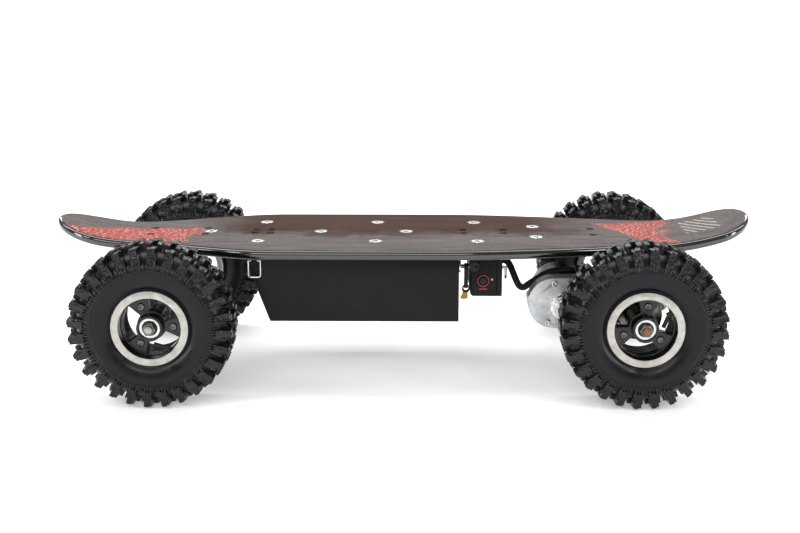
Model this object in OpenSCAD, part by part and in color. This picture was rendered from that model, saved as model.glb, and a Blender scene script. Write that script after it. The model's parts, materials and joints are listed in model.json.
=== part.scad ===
// Off-road electric skateboard: curved deck, two sprung channel trucks, four knobby wheels,
// a slung battery box, a control box and a geared motor on the rear truck.
// +X points to the tail, +Y to the rider's right, +Z up. The ground is z = 0.

/* [Layout] */
// Distance between the two axles
wheelbase = 750; // [700:5:820]
// Distance between the middles of the two wheels of an axle
track = 381.5; // [370:0.5:440]
// How far the axles sit ahead of the deck's middle
axle_shift = 5; // [0:1:12]
// Height of the deck's wooden top
deck_top_z = 228; // [222:1:250]

/* [Deck] */
// Overall length
deck_length = 1134; // [1100:2:1220]
// Full width amidships
deck_width = 280; // [260:2:290]
// Width of the nose
nose_width = 142; // [130:2:180]
// Width of the tail
tail_width = 166; // [140:2:190]
// Thickness of the ply
deck_thick = 15; // [12:0.5:18]
// Radius of the nose's upward curve
nose_curve_r = 370; // [330:5:600]
// Radius of the tail's upward curve
tail_curve_r = 400; // [350:5:600]
// Grip tape thickness
grip_thick = 1; // [0.8:0.1:1.5]

/* [Wheels] */
// Tyre radius over the lugs
tyre_r = 128.3; // [124:0.1:132]
// Tyre width
tyre_width = 82.4; // [78:0.2:90]
// Rim width over both lips
rim_width = 74; // [70:0.5:76]
// Radius of the rim lip
lip_r = 59; // [57:0.5:61]
// Radius inside the barrel
barrel_r = 47.7; // [46:0.1:48.5]
// Bead seat radius
bead_r = 50.8; // [50.4:0.1:51.5]
// Number of lugs round the tyre in each row
lugs = 28; // [24:2:32]
// Axle radius
axle_r = 6; // [5.5:0.5:6.5]

/* [Trucks] */
// Tilt of the lean axis above level, rising to the board's end
lean_tilt = 25; // [20:1:30]
// Height of the lean axis over the truck plate's middle
lean_z = 168; // [164:1:172]
// Radius of the king bolt
king_r = 6; // [5:0.5:6.5]
// Thickness of the truck plate
plate_thick = 8; // [6:0.5:10]
// Bolt spacing along the board
bolt_dx = 89; // [80:1:94]
// Bolt spacing across the board
bolt_dy = 44; // [38:1:50]

/* [Battery box] */
// Length along the bottom
battery_len = 303; // [302:1:306]
// Width
battery_width = 200; // [160:2:216]
// Height of the bottom above the ground
battery_floor_z = 103; // [95:1:110]
// How far the front wall leans out at the top
battery_slant = 40; // [20:1:44]
// Sheet thickness
battery_wall = 2; // [1.5:0.25:2]

/* [Control box] */
// Length without the end panel
control_len = 43; // [40:1:44]
// Width across the board
control_width = 144; // [120:2:150]
// Height of the bottom above the ground
control_floor_z = 138; // [130:1:145]
// Wall thickness
control_wall = 2; // [1.5:0.5:3]
// Radius of the power button
button_r = 6; // [5:0.5:7]

/* [Drive] */
// Gear module
gear_module = 1.5; // [1.5:0.05:1.6]
// Teeth on the motor pinion
pinion_teeth = 12; // [12:1:14]
// Teeth on the idler (odd, so that both sides mesh)
idler_teeth = 43; // [41:2:43]
// Teeth on the output gear
output_teeth = 49; // [45:1:50]
// Gear face width
gear_width = 12; // [10:1:14]
// Motor can radius
motor_r = 40; // [34:1:42]
// Motor can length
motor_len = 100; // [90:1:110]

/* [Hidden] */
ENDS = ["front", "rear"];
SIDES = ["left", "right"];
$fn = 48;

// Clearances
fit = 0.05;        // running and push fits, on the radius
gap = 0.3;         // between faces of different bodies
tube_gap = 0.3;    // inner tube to tyre and rim

// Deck
front_x = -wheelbase / 2 - axle_shift;
rear_x = wheelbase / 2 - axle_shift;
deck_under_z = deck_top_z - deck_thick;
half_len = deck_length / 2;
nose_kick_x = front_x - 45;  // where the nose starts to rise
tail_kick_x = rear_x + 30;
nose_taper = [-200, -470];   // where the outline starts and ends its taper
tail_taper = [60, 540];
nose_round = 92;             // length of the rounded end
tail_round = 60;
grip_inset = 6;
axle_z = tyre_r;

// Inserts in the deck: three rows and a pair near the tail
insert_side_x = [-231, -42, 122];
insert_mid_x = [-316, -134, 7];
insert_tail_x = 219;
insert_side_y = 70;
insert_tail_y = 38;
insert_places = concat([for (x = insert_side_x, s = [-1, 1]) [x, s * insert_side_y]],
    [for (x = insert_mid_x) [x, 0]], [for (s = [-1, 1]) [insert_tail_x, s * insert_tail_y]]);
insert_barrel_r = 5.6;
insert_bore_r = 4;
insert_depth = 12;
star_r = 12;
star_root_r = 9.4;
star_points = 8;
star_thick = 1.6;

// Countersunk bolts
csk_r = 3;
csk_head_r = 6;
csk_head_h = 3.2;
csk_hole_r = csk_r + fit;
box_bolt_y = 12;
battery_bolt_x = [-242, -216.5];

// Trucks: the local x runs outboard from the plate's middle
plate_inset = 12;
plate_len = 126;
plate_width = 68;
plate_under_z = deck_under_z - plate_thick;
lean_x = 4;
lug_near = 20.3;
lug_far = 30.5;
lug_half_w = 17;
lug_r = 17;
sleeve_r = 15;
sleeve_half = lug_near - gap;
wing_top_z = 183;
wing_thick = 12;
wing_half_x = 13;
wing_half_y = 46;
elastomer_r = 12;
elastomer_y = 32;
tube_r = 13;
bearing_w = 10;
bearing_r = 16;
hub_r = 20;
bearing_out_t = rim_width / 2 - 4;   // outer face of the outer bearing from the wheel's middle
nut_h = 9;
nut_af = 18;
thread_end = 2;
hanger_half = track / 2 - rim_width / 2 - 4;
axle_half = track / 2 + bearing_out_t + gap + nut_h + thread_end;

// Rim
disc_mid_t = 9;          // where the rim halves meet, outboard of the tyre's middle
disc_thick = 8;
flange_thick = 4;
spokes = 3;
spoke_root_w = 17;
spoke_tip_w = 37;
window_in_r = 22.5;
window_out_r = 45.5;
rim_bolt_pcr = 33;
rim_bolt_r = 3;
rim_head_r = 5;
rim_head_h = 5;
valve_t = rim_width / 2 - 14;
valve_angle = -51;       // seen from outside, after the first spoke
valve_tip = [4.9, -27.6];
valve_stub_r = 42;
valve_r = 4;
// Turn of each rim, seen from outside
rim_turns = [[-3, 40], [82, 10]];

// Tyre section
carcass_r = 117.5;
tyre_wide_r = 88;
lower_bulge = 58;
tyre_wall = 5.5;
tread_wall = 8;
bead_w = 5.75;
cavity_low_r = lip_r + 4;
lug_len = 14;
centre_lug_half = 14;
shoulder_lug_in = 17;
shoulder_drop = 2.2;

// Battery box
battery_back_x = 92;
battery_front_x = battery_back_x - battery_len;
lip_thick = 3;
lip_len = 44;
rear_tab_len = 15;
cell_size = [98, 151, 95];
cell_gap = 0.5;
cells = 3;

// Key lock and keys, on the battery box's rear wall
lock_y = -battery_width / 2 + 12;
lock_z = 192;
lock_r = 8;
neck_r = 3.5;
loop_x = 103.5;
strap_w = 6;
strap_t = 1.6;
strap_bend_r = 8;        // middle of the strap's thickness
strap_top_z = lock_z + neck_r + gap + strap_t / 2 - strap_bend_r;
strap_low_z = 165;
key_hole_r = 4;
key_bow_r = 6.3;
key_hook_gap = 1.9;
key_thick = 1.6;
key_step = 2.8;
key_fan = [22, 9, -4];

// Bail on the battery box's left wall
bail_x = -233.5;
bail_half_w = 9.5;
bail_drop = 27;
bail_wire_r = 1.25;
bail_y = -battery_width / 2 - 4.5;
bail_z = 204.5;
bail_ear_half = 4.5;
bail_corner_r = 4;

// Control box
control_x = 111;
panel_thick = 8.5;
control_corner_r = 6;
button_x = 132;
button_z = 164;
button_travel = 2;
bezel_r = 10.5;
bezel_h = 2;
control_end_x = control_x + control_len;
panel_end_x = control_end_x + panel_thick;
panel_tab_len = 10;
control_bolt_x = (battery_back_x + control_x) / 2;
panel_bolt_x = panel_end_x + panel_tab_len / 2;
tab_half_y = 26;

// Drive train, in a row ahead of the rear axle
pressure_angle = 25;
backlash = 0.3;
pinion_pr = gear_module * pinion_teeth / 2;
idler_pr = gear_module * idler_teeth / 2;
output_pr = gear_module * output_teeth / 2;
idler_x = rear_x - output_pr - idler_pr;
motor_x = idler_x - idler_pr - pinion_pr;
pocket_gap = 2.2;
gear_near_y = -86;                       // outer face of the gears
gear_far_y = gear_near_y + gear_width;
case_near_y = gear_near_y - 2;
case_far_y = -62;
case_back = case_far_y - gear_far_y - 4;
cover_thick = 5;
cover_near_y = case_near_y - cover_thick;
cover_boss = [[21.5, 6], [15.5, 8], [11.5, 10]];   // radius and height of each step
case_nose = [motor_x - 15, axle_z + 4];
case_nose_r = 41.4;
case_tail_r = 46.5;
case_screw_r = 2.5;
case_screws = [[case_nose[0], case_nose[1] + 33], [case_nose[0] - 9.6, case_nose[1] - 31.5],
    [idler_x + 29, axle_z + 36], [idler_x + 29, axle_z - 36], [rear_x + case_tail_r + 1, axle_z]];
idler_pin_r = 5;
sleeve_out_r = 12;
spider_r = 38;
spider_y = -track / 2 + rim_width / 2 + 5;
drive_pin_r = 4;
shaft_r = 4;
rotor_r = 30;
rotor_gap = 1;
terminal = [[motor_x + 22, -60, axle_z + 20], [motor_x + 46, -30, axle_z + 52]];

// Motor lead: its middle line, from the end panel to the motor's terminal box
lead_r = 5.5;
lead_sides = 10;
lead_route = [[panel_end_x, -60, 196], [170, -60, 194], [176, -60, 186], [181, -60, 174],
    [186, -60, 162], [191, -60, 153], [198, -59.5, 150], [206, -56, 154], [215, -55, 160],
    [225, -53, 166], [236, -50, 171], [248, -47, 174], [262, -45, 175], [terminal[0][0], -45, 175]];

// Shared shapes
function smooth(t) = let (c = min(1, max(0, t))) c * c * (3 - 2 * c);
function kick(d, r) = d <= 0 ? 0 : r - sqrt(r * r - d * d);
function deck_rise(x) = kick(nose_kick_x - x, nose_curve_r) + kick(x - tail_kick_x, tail_curve_r);
function round_end(d, len) = d >= len ? 1 : pow(1 - pow(1 - max(0, d) / len, 2.2), 1 / 2.2);
function body_half(x) = x < 0
    ? deck_width / 2 - (deck_width - nose_width) / 2
        * smooth((nose_taper[0] - x) / (nose_taper[0] - nose_taper[1]))
    : deck_width / 2 - (deck_width - tail_width) / 2
        * smooth((x - tail_taper[0]) / (tail_taper[1] - tail_taper[0]));
function deck_half(x, inset) = let (d = half_len - inset - abs(x))
    max(0, body_half(x) - inset) * round_end(d, (x < 0 ? nose_round : tail_round) - inset);
// Stations along the deck, closer together at the ends
function stations(inset) = let (h = half_len - inset)
    concat([for (i = [0:11]) -h + nose_round * pow(i / 12, 2)],
        [for (i = [0:24]) -h + nose_round + (2 * h - nose_round - tail_round) * i / 24],
        [for (i = [11:-1:0]) h - tail_round * pow(i / 12, 2)]);

module deck_outline(inset = 0) {
    xs = stations(inset);
    n = len(xs);
    polygon(concat([for (i = [0:n - 1]) [xs[i], -deck_half(xs[i], inset)]],
        [for (i = [n - 2:-1:1]) [xs[i], deck_half(xs[i], inset)]]));
}

// A layer that follows the deck's curve from side view, between two heights
module deck_layer(low, high) {
    over = 4;
    arc_n = 12;
    xs = concat([for (i = [0:arc_n - 1]) -half_len - over + (nose_kick_x + half_len + over) * i / arc_n],
        [nose_kick_x, tail_kick_x],
        [for (i = [1:arc_n]) tail_kick_x + (half_len + over - tail_kick_x) * i / arc_n]);
    n = len(xs);
    rotate([90, 0, 0]) linear_extrude(deck_width + 20, center = true)
        polygon(concat([for (i = [0:n - 1]) [xs[i], low + deck_rise(xs[i])]],
            [for (i = [n - 1:-1:0]) [xs[i], high + deck_rise(xs[i])]]));
}

function truck_x(end) = end < 0 ? front_x + plate_inset : rear_x - plate_inset;
bolt_places = concat(
    [for (e = [-1, 1], i = [-1, 1], j = [-1, 1]) [truck_x(e) + i * bolt_dx / 2, j * bolt_dy / 2,
        deck_thick + plate_thick + grip_thick]],
    [for (x = battery_bolt_x, j = [-1, 1]) [x, j * box_bolt_y, deck_thick + lip_thick + grip_thick]],
    [for (j = [-1, 1]) [control_bolt_x, j * box_bolt_y, deck_thick + 2 * lip_thick + grip_thick]],
    [for (j = [-1, 1]) [panel_bolt_x, j * box_bolt_y, deck_thick + lip_thick + grip_thick]]);

// Outline of a belt round two circles
module belt_shape(c1, r1, c2, r2) {
    steps = 24;
    dir = atan2(c2[1] - c1[1], c2[0] - c1[0]);
    lean = acos((r1 - r2) / norm(c2 - c1));
    polygon(concat(
        [for (i = [0:steps]) let (a = dir + lean + (360 - 2 * lean) * i / steps) c1 + r1 * [cos(a), sin(a)]],
        [for (i = [0:steps]) let (a = dir - lean + 2 * lean * i / steps) c2 + r2 * [cos(a), sin(a)]]));
}

// Lays a flat outline in X and Z and gives it a depth from y_near away from the viewer's side
module slab(y_near, y_far) {
    translate([0, y_far, 0]) rotate([90, 0, 0]) linear_extrude(y_far - y_near) children();
}

// A round bar along Y
module bar_y(x, z, r, y0, y1) {
    translate([x, y1, z]) rotate([90, 0, 0]) cylinder(r = r, h = y1 - y0);
}

// A round bar along X
module bar_x(y, z, r, x0, x1) {
    translate([x0, y, z]) rotate([0, 90, 0]) cylinder(r = r, h = x1 - x0);
}

// Deck
module deck() {
    color([0.07, 0.06, 0.06]) difference() {
        intersection() {
            deck_layer(deck_under_z, deck_top_z);
            translate([0, 0, deck_under_z - 1]) linear_extrude(deck_thick + 80) deck_outline();
        }
        for (p = insert_places)
            translate([p[0], p[1], deck_under_z - 1]) cylinder(r = insert_barrel_r + fit, h = deck_thick + 2);
        for (p = bolt_places) translate([p[0], p[1], 0]) {
            translate([0, 0, deck_under_z - 1]) cylinder(r = csk_hole_r, h = deck_thick + 2);
            translate([0, 0, deck_top_z + grip_thick - csk_head_h])
                cylinder(r1 = csk_hole_r, r2 = csk_head_r + fit, h = csk_head_h);
        }
    }
}

module grip_tape() {
    color([0.36, 0.33, 0.32]) difference() {
        intersection() {
            deck_layer(deck_top_z, deck_top_z + grip_thick);
            translate([0, 0, deck_top_z - 1]) linear_extrude(80) deck_outline(grip_inset);
        }
        for (p = insert_places)
            translate([p[0], p[1], deck_top_z - 1]) cylinder(r = star_r + gap, h = grip_thick + 2);
        for (p = bolt_places)
            translate([p[0], p[1], deck_top_z - 1]) cylinder(r = csk_head_r + gap, h = grip_thick + 2);
    }
}

// Star-flanged threaded inserts for foot bindings
module star_inserts() {
    color([0.85, 0.85, 0.84]) for (p = insert_places) translate([p[0], p[1], deck_top_z]) difference() {
        union() {
            linear_extrude(star_thick) polygon([for (i = [0:2 * star_points - 1])
                let (a = i * 180 / star_points) (i % 2 == 0 ? star_r : star_root_r) * [cos(a), sin(a)]]);
            translate([0, 0, -insert_depth]) cylinder(r = insert_barrel_r, h = insert_depth + 0.1);
        }
        translate([0, 0, -insert_depth - 1]) cylinder(r = insert_bore_r, h = insert_depth + 4);
    }
}

module countersunk_bolts() {
    head_top = deck_top_z + grip_thick;
    color([0.12, 0.12, 0.12]) for (p = bolt_places) translate([p[0], p[1], head_top]) difference() {
        union() {
            translate([0, 0, -csk_head_h]) cylinder(r1 = csk_r, r2 = csk_head_r, h = csk_head_h);
            translate([0, 0, -p[2]]) cylinder(r = csk_r, h = p[2] - csk_head_h + 0.1);
        }
        translate([0, 0, -2.4]) cylinder(r = 2.2, h = 4, $fn = 6);
    }
}

// Trucks
module at_truck(end) {
    translate([truck_x(end), 0, 0]) mirror([end < 0 ? 1 : 0, 0, 0]) children();
}

// The lean axis as the child's own X axis, with its Z square to it
module on_lean_axis() {
    translate([lean_x, 0, lean_z]) rotate([0, -lean_tilt, 0]) children();
}

module king_hole(r) {
    on_lean_axis() translate([-lug_far - 20, 0, 0]) rotate([0, 90, 0]) cylinder(r = r, h = 2 * lug_far + 40);
}

module truck_channel(end) {
    lug_rise = (plate_under_z - lean_z) / cos(lean_tilt) + 30;
    color([0.16, 0.16, 0.17]) at_truck(end) difference() {
        union() {
            translate([-plate_len / 2, -plate_width / 2, plate_under_z])
                cube([plate_len, plate_width, plate_thick]);
            intersection() {
                on_lean_axis() for (a = [-lug_far, lug_near]) translate([a, 0, 0]) {
                    rotate([0, 90, 0]) cylinder(r = lug_r, h = lug_far - lug_near);
                    translate([0, -lug_half_w, 0]) cube([lug_far - lug_near, 2 * lug_half_w, lug_rise]);
                }
                translate([-plate_len / 2, -plate_width / 2, lean_z - 60])
                    cube([plate_len, plate_width, plate_under_z - lean_z + 60.5]);
            }
        }
        king_hole(king_r + fit);
        for (i = [-1, 1], j = [-1, 1]) translate([i * bolt_dx / 2, j * bolt_dy / 2, plate_under_z - 1])
            cylinder(r = csk_hole_r, h = plate_thick + 2);
    }
}

module king_bolts() {
    head_h = 8;
    color([0.75, 0.75, 0.76]) for (e = [-1, 1]) at_truck(e) on_lean_axis() rotate([0, 90, 0]) {
        translate([0, 0, -lug_far - head_h - 3]) cylinder(r = king_r, h = 2 * lug_far + head_h + 3 + 0.1);
        translate([0, 0, lug_far]) cylinder(r = 10.5, h = head_h, $fn = 6);
        translate([0, 0, -lug_far - head_h]) cylinder(r = 10.5, h = head_h, $fn = 6);
    }
}

// Rubber blocks between the truck plate and the hanger's wings
module elastomers(end) {
    color([0.15, 0.13, 0.12]) at_truck(end) for (s = [-1, 1])
        translate([lean_x, s * elastomer_y, wing_top_z + gap])
            cylinder(r = elastomer_r, h = plate_under_z - wing_top_z - gap);
}

// y_left and y_right are the two ends of the axle tube
module hanger(end, y_left, y_right) {
    web_half = 19;
    color([0.55, 0.56, 0.57]) at_truck(end) difference() {
        union() {
            on_lean_axis() translate([-sleeve_half, 0, 0]) rotate([0, 90, 0])
                cylinder(r = sleeve_r, h = 2 * sleeve_half);
            bar_y(plate_inset, axle_z, tube_r, y_left, y_right);
            slab(-web_half, web_half) polygon([[plate_inset - 13, axle_z], [plate_inset + 13, axle_z],
                [lean_x + 12, lean_z + 4], [lean_x - 12, lean_z - 6]]);
            translate([lean_x - wing_half_x, -wing_half_y, wing_top_z - wing_thick])
                cube([2 * wing_half_x, 2 * wing_half_y, wing_thick]);
            for (s = [-1, 1]) wing_gusset(s);
        }
        king_hole(king_r + fit);
        bar_y(plate_inset, axle_z, axle_r + fit, y_left - 1, y_right + 1);
    }
}

// Gusset under each wing, down to the axle tube
module wing_gusset(s) {
    low = axle_z + 6;
    high = wing_top_z - wing_thick + 1;
    translate([lean_x - 5, 0, 0]) rotate([90, 0, 90]) linear_extrude(10)
        polygon([[s * 10, low], [s * 52, low], [s * wing_half_y, high], [s * 10, high]]);
}

module axle(x, collar_left, collar_right) {
    collar_r = 8;
    inner_face = track / 2 - bearing_out_t - gap;
    color([0.7, 0.7, 0.7]) {
        bar_y(x, axle_z, axle_r, -axle_half, axle_half);
        if (collar_left) bar_y(x, axle_z, collar_r, -inner_face, -hanger_half);
        if (collar_right) bar_y(x, axle_z, collar_r, hanger_half, inner_face);
    }
}

module axle_nuts(x) {
    nut_in = track / 2 + bearing_out_t + gap;
    color([0.78, 0.78, 0.77]) for (s = [-1, 1]) translate([x, s * nut_in, axle_z])
        rotate([s * -90, 0, 0]) difference() {
            union() {
                cylinder(r = 9.6, h = 1.4);
                cylinder(r = nut_af / sqrt(3), h = nut_h, $fn = 6);
            }
            translate([0, 0, -1]) cylinder(r = axle_r + fit, h = nut_h + 2);
        }
}

// Wheels
// Local z points outboard and angles are as seen from outside
module at_wheel(end, side) {
    translate([end < 0 ? front_x : rear_x, side * track / 2, axle_z])
        rotate([side < 0 ? 90 : -90, 0, 0]) children();
}

// Half of the section, from the crown down to the rim, r and z
function section(half_w, crown, low_r, low_b) = concat(
    [for (i = [0:10]) let (a = 90 - 9 * i)
        [tyre_wide_r + (crown - tyre_wide_r) * sin(a), half_w * pow(cos(a), 0.72)]],
    [for (i = [1:5]) let (r = tyre_wide_r - (tyre_wide_r - low_r) * i / 5)
        [r, half_w * sqrt(1 - pow((tyre_wide_r - r) / low_b, 2))]]);
function flip(points) = [for (i = [len(points) - 1:-1:1]) [points[i][0], -points[i][1]]];

module tyre(end, side) {
    seat = bead_r + fit;
    bead_out = rim_width / 2 - flange_thick - fit;
    outer = concat(section(tyre_width / 2, carcass_r, lip_r + gap, lower_bulge),
        [[lip_r + gap, bead_out], [seat, bead_out]]);
    inner = section(tyre_width / 2 - tyre_wall, carcass_r - tread_wall, cavity_low_r, lower_bulge);
    mouth = bead_out - bead_w;
    color([0.07, 0.07, 0.075]) at_wheel(end, side) {
        rotate_extrude($fn = 96) difference() {
            polygon(concat(outer, [for (i = [len(outer) - 1:-1:1]) [outer[i][0], -outer[i][1]]]));
            polygon(concat(inner, [[cavity_low_r, mouth + 5], [seat - 2, mouth], [seat - 2, -mouth],
                [cavity_low_r, -mouth - 5]], flip(inner)));
        }
        for (i = [0:lugs - 1]) rotate([0, 0, -90 + i * 360 / lugs])
            translate([carcass_r - 4, -lug_len / 2, -centre_lug_half])
                cube([tyre_r - carcass_r + 4, lug_len, 2 * centre_lug_half]);
        for (i = [0:lugs - 1], s = [0, 1]) rotate([0, 0, -90 + (i + 0.5) * 360 / lugs]) mirror([0, 0, s])
            rotate([90, 0, 0]) linear_extrude(lug_len, center = true) polygon([
                [carcass_r - 5, shoulder_lug_in], [tyre_r - shoulder_drop, shoulder_lug_in],
                [tyre_r - shoulder_drop, tyre_width / 2], [carcass_r - 14, tyre_width / 2],
                [carcass_r - 14, tyre_width / 2 - tyre_wall - 2.7]]);
    }
}

// Inner tube, and the bent valve stem whose foot is bonded to it
module inner_tube(end, side) {
    skin = 1.6;
    half_w = tyre_width / 2 - tyre_wall - tube_gap;
    crown = carcass_r - tread_wall - tube_gap;
    low = cavity_low_r + tube_gap;
    stub = [cos(valve_angle), sin(valve_angle)];
    run = valve_tip - stub * valve_stub_r;
    outer = section(half_w, crown, low, lower_bulge);
    inner = section(half_w - skin, crown - skin, low + skin, lower_bulge);
    color([0.1, 0.1, 0.1]) at_wheel(end, side) rotate([0, 0, rim_turn(end, side)]) {
        // The air space opens through a slit on the rim side, so that it is no sealed void
        rotate_extrude($fn = 72) difference() {
            polygon(concat(outer, flip(outer)));
            polygon(concat(inner, flip(inner)));
            translate([low - 1, -12]) square([skin + 2, 3]);
        }
        translate([0, 0, valve_t]) {
            rotate([0, 0, valve_angle]) translate([valve_stub_r - valve_r, 0, 0]) rotate([0, 90, 0])
                cylinder(r = valve_r, h = low - gap - valve_stub_r + valve_r);
            translate(concat(stub * valve_stub_r, 0)) rotate([0, 0, atan2(run[1], run[0])])
                rotate([0, 90, 0]) cylinder(r = valve_r - 0.8, h = norm(run));
        }
    }
}

function rim_turn(end, side) = rim_turns[end < 0 ? 0 : 1][side < 0 ? 0 : 1];

// Three windows between the spokes
module windows() {
    difference() {
        circle(window_out_r, $fn = 96);
        circle(window_in_r, $fn = 64);
        for (i = [0:spokes - 1]) rotate(i * 360 / spokes)
            polygon([[0, -spoke_root_w / 2], [window_in_r, -spoke_root_w / 2],
                [window_out_r + 2, -spoke_tip_w / 2], [window_out_r + 2, spoke_tip_w / 2],
                [window_in_r, spoke_root_w / 2], [0, spoke_root_w / 2]]);
    }
}

module rim_outer(end, side) {
    lip_t = rim_width / 2;
    hub_t = lip_t - 0.5;
    color([0.8, 0.8, 0.8]) at_wheel(end, side) rotate([0, 0, rim_turn(end, side)]) difference() {
        union() {
            rotate_extrude($fn = 96) polygon([[barrel_r, disc_mid_t], [bead_r, disc_mid_t],
                [bead_r, lip_t - flange_thick], [lip_r, lip_t - flange_thick], [lip_r, lip_t],
                [barrel_r, lip_t]]);
            translate([0, 0, disc_mid_t]) linear_extrude(disc_thick) difference() {
                circle(barrel_r + 1, $fn = 96);
                windows();
            }
            translate([0, 0, disc_mid_t]) cylinder(r = hub_r, h = hub_t - disc_mid_t);
        }
        translate([0, 0, disc_mid_t - 1]) cylinder(r = 9, h = 40);
        translate([0, 0, bearing_out_t - bearing_w]) cylinder(r = bearing_r + fit, h = 20);
        rim_bolt_holes(rim_bolt_r + 0.2);
        for (i = [0:spokes - 1]) rotate(i * 360 / spokes)
            translate([rim_bolt_pcr, 0, disc_mid_t + disc_thick - rim_head_h + 2])
                cylinder(r = rim_head_r + gap, h = 9);
        valve_hole();
    }
}

module rim_bolt_holes(r) {
    for (i = [0:spokes - 1]) rotate(i * 360 / spokes)
        translate([rim_bolt_pcr, 0, disc_mid_t - disc_thick - 1]) cylinder(r = r, h = 2 * disc_thick + 2);
}

module valve_hole() {
    rotate([0, 0, valve_angle]) translate([barrel_r - 6, 0, valve_t]) rotate([0, 90, 0])
        cylinder(r = valve_r + fit, h = 16);
}

module rim_inner(end, side) {
    lip_t = rim_width / 2;
    color([0.1, 0.1, 0.1]) at_wheel(end, side) rotate([0, 0, rim_turn(end, side)]) difference() {
        union() {
            rotate_extrude($fn = 96) polygon([[barrel_r, -lip_t], [lip_r, -lip_t],
                [lip_r, flange_thick - lip_t], [bead_r, flange_thick - lip_t], [bead_r, disc_mid_t],
                [barrel_r, disc_mid_t]]);
            translate([0, 0, disc_mid_t - disc_thick]) linear_extrude(disc_thick) difference() {
                circle(barrel_r + 1, $fn = 96);
                windows();
            }
            translate([0, 0, 0.5 - lip_t]) cylinder(r = hub_r, h = disc_mid_t + lip_t - 0.5);
        }
        translate([0, 0, -lip_t - 1]) cylinder(r = 9, h = lip_t + disc_mid_t + 2);
        translate([0, 0, -lip_t - 1]) cylinder(r = bearing_r + fit, h = lip_t + 1 - bearing_out_t + bearing_w);
        rim_bolt_holes(rim_bolt_r + fit);
    }
}

// Sealed bearings, one at each end of the hub
module bearings(end, side) {
    seal = 0.6;
    color([0.75, 0.76, 0.77]) at_wheel(end, side) for (s = [-1, 1])
        translate([0, 0, s * (bearing_out_t - bearing_w / 2)]) rotate_extrude() difference() {
            translate([axle_r + fit, -bearing_w / 2]) square([bearing_r - axle_r - fit, bearing_w]);
            for (f = [-1, 1]) translate([8.6, f * bearing_w / 2 - seal]) square([3.2, 2 * seal]);
        }
}

module rim_bolts(end, side) {
    head_t = disc_mid_t + disc_thick - rim_head_h + 2;
    color([0.8, 0.8, 0.8]) at_wheel(end, side) rotate([0, 0, rim_turn(end, side)])
        for (i = [0:spokes - 1]) rotate(i * 360 / spokes) translate([rim_bolt_pcr, 0, 0]) difference() {
            union() {
                translate([0, 0, head_t]) cylinder(r = rim_head_r, h = rim_head_h);
                translate([0, 0, disc_mid_t - disc_thick + 0.5])
                    cylinder(r = rim_bolt_r, h = head_t - disc_mid_t + disc_thick);
            }
            translate([0, 0, head_t + 2.4]) cylinder(r = 2.9, h = 4, $fn = 6);
        }
}

// Battery box and keys
// Side outline of the box, drawn in by a wall thickness
module battery_side(inset) {
    top = deck_under_z;
    height = top - battery_floor_z;
    slope = battery_slant / height;
    x = battery_front_x + inset * (sqrt(1 + slope * slope) - slope);
    polygon([[x, battery_floor_z + inset], [battery_back_x - inset, battery_floor_z + inset],
        [battery_back_x - inset, top + inset], [x - battery_slant, top + inset]]);
}

// Holes for the pair of bolts that hold a box or a panel to the deck
module box_bolt_holes(x) {
    for (j = [-1, 1]) translate([x, j * box_bolt_y, deck_under_z - 10]) cylinder(r = csk_hole_r, h = 12);
}

module battery_box() {
    half_w = battery_width / 2;
    front_top = battery_front_x - battery_slant;
    color([0.09, 0.09, 0.095]) difference() {
        union() {
            difference() {
                intersection() {
                    slab(-half_w, half_w) battery_side(0);
                    translate([-400, -half_w, 0]) cube([800, battery_width, deck_under_z]);
                }
                slab(-half_w + battery_wall, half_w - battery_wall) battery_side(battery_wall);
            }
            // lip inside the front wall and tab behind the rear wall, both under the deck
            translate([front_top + 3, -half_w + 1, deck_under_z - lip_thick])
                cube([lip_len, battery_width - 2, lip_thick]);
            translate([battery_back_x - 1, -tab_half_y, deck_under_z - lip_thick])
                cube([rear_tab_len + 1, 2 * tab_half_y, lip_thick]);
            // ear that carries the bail
            translate([bail_x - bail_ear_half, bail_y - 3.5, bail_z - 4])
                cube([2 * bail_ear_half, -half_w - bail_y + 3.6, 8]);
        }
        for (x = concat(battery_bolt_x, [control_bolt_x])) box_bolt_holes(x);
        bar_x(lock_y, lock_z, lock_r + fit, battery_back_x - 6, battery_back_x + 2);
        bar_x(bail_y, bail_z, bail_wire_r + fit, bail_x - 10, bail_x + 10);
    }
}

// Three sealed batteries, side by side on the floor of the box
module batteries() {
    start = battery_back_x - battery_wall - cell_gap - cells * cell_size[0] - (cells - 1) * cell_gap;
    color([0.25, 0.27, 0.3]) for (i = [0:cells - 1])
        translate([start + i * (cell_size[0] + cell_gap), -cell_size[1] / 2, battery_floor_z + battery_wall]) {
            cube(cell_size);
            for (s = [-1, 1])
                translate([cell_size[0] / 2 - 3, cell_size[1] / 2 + s * 60 - 3, cell_size[2] - 0.5])
                    cube([6, 6, 4.5]);
        }
}

module key_lock() {
    back = battery_back_x - 14;
    face = battery_back_x + 3;
    color([0.8, 0.8, 0.8]) difference() {
        union() {
            bar_x(lock_y, lock_z, lock_r, back, face);
            bar_x(lock_y, lock_z, lock_r + 2, battery_back_x, face);
        }
        bar_x(lock_y, lock_z, neck_r + fit, back + 3, face + 1);
    }
}

module ignition_key() {
    start = battery_back_x - 9;
    bow_x = 116;
    bow_r = 8.5;
    color([0.8, 0.65, 0.3]) {
        bar_x(lock_y, lock_z, neck_r, start, bow_x - bow_r + 2);
        difference() {
            bar_y(bow_x, lock_z, bow_r, lock_y - 1.5, lock_y + 1.5);
            bar_y(bow_x + 3.5, lock_z, 2, lock_y - 3, lock_y + 3);
        }
    }
}

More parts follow.
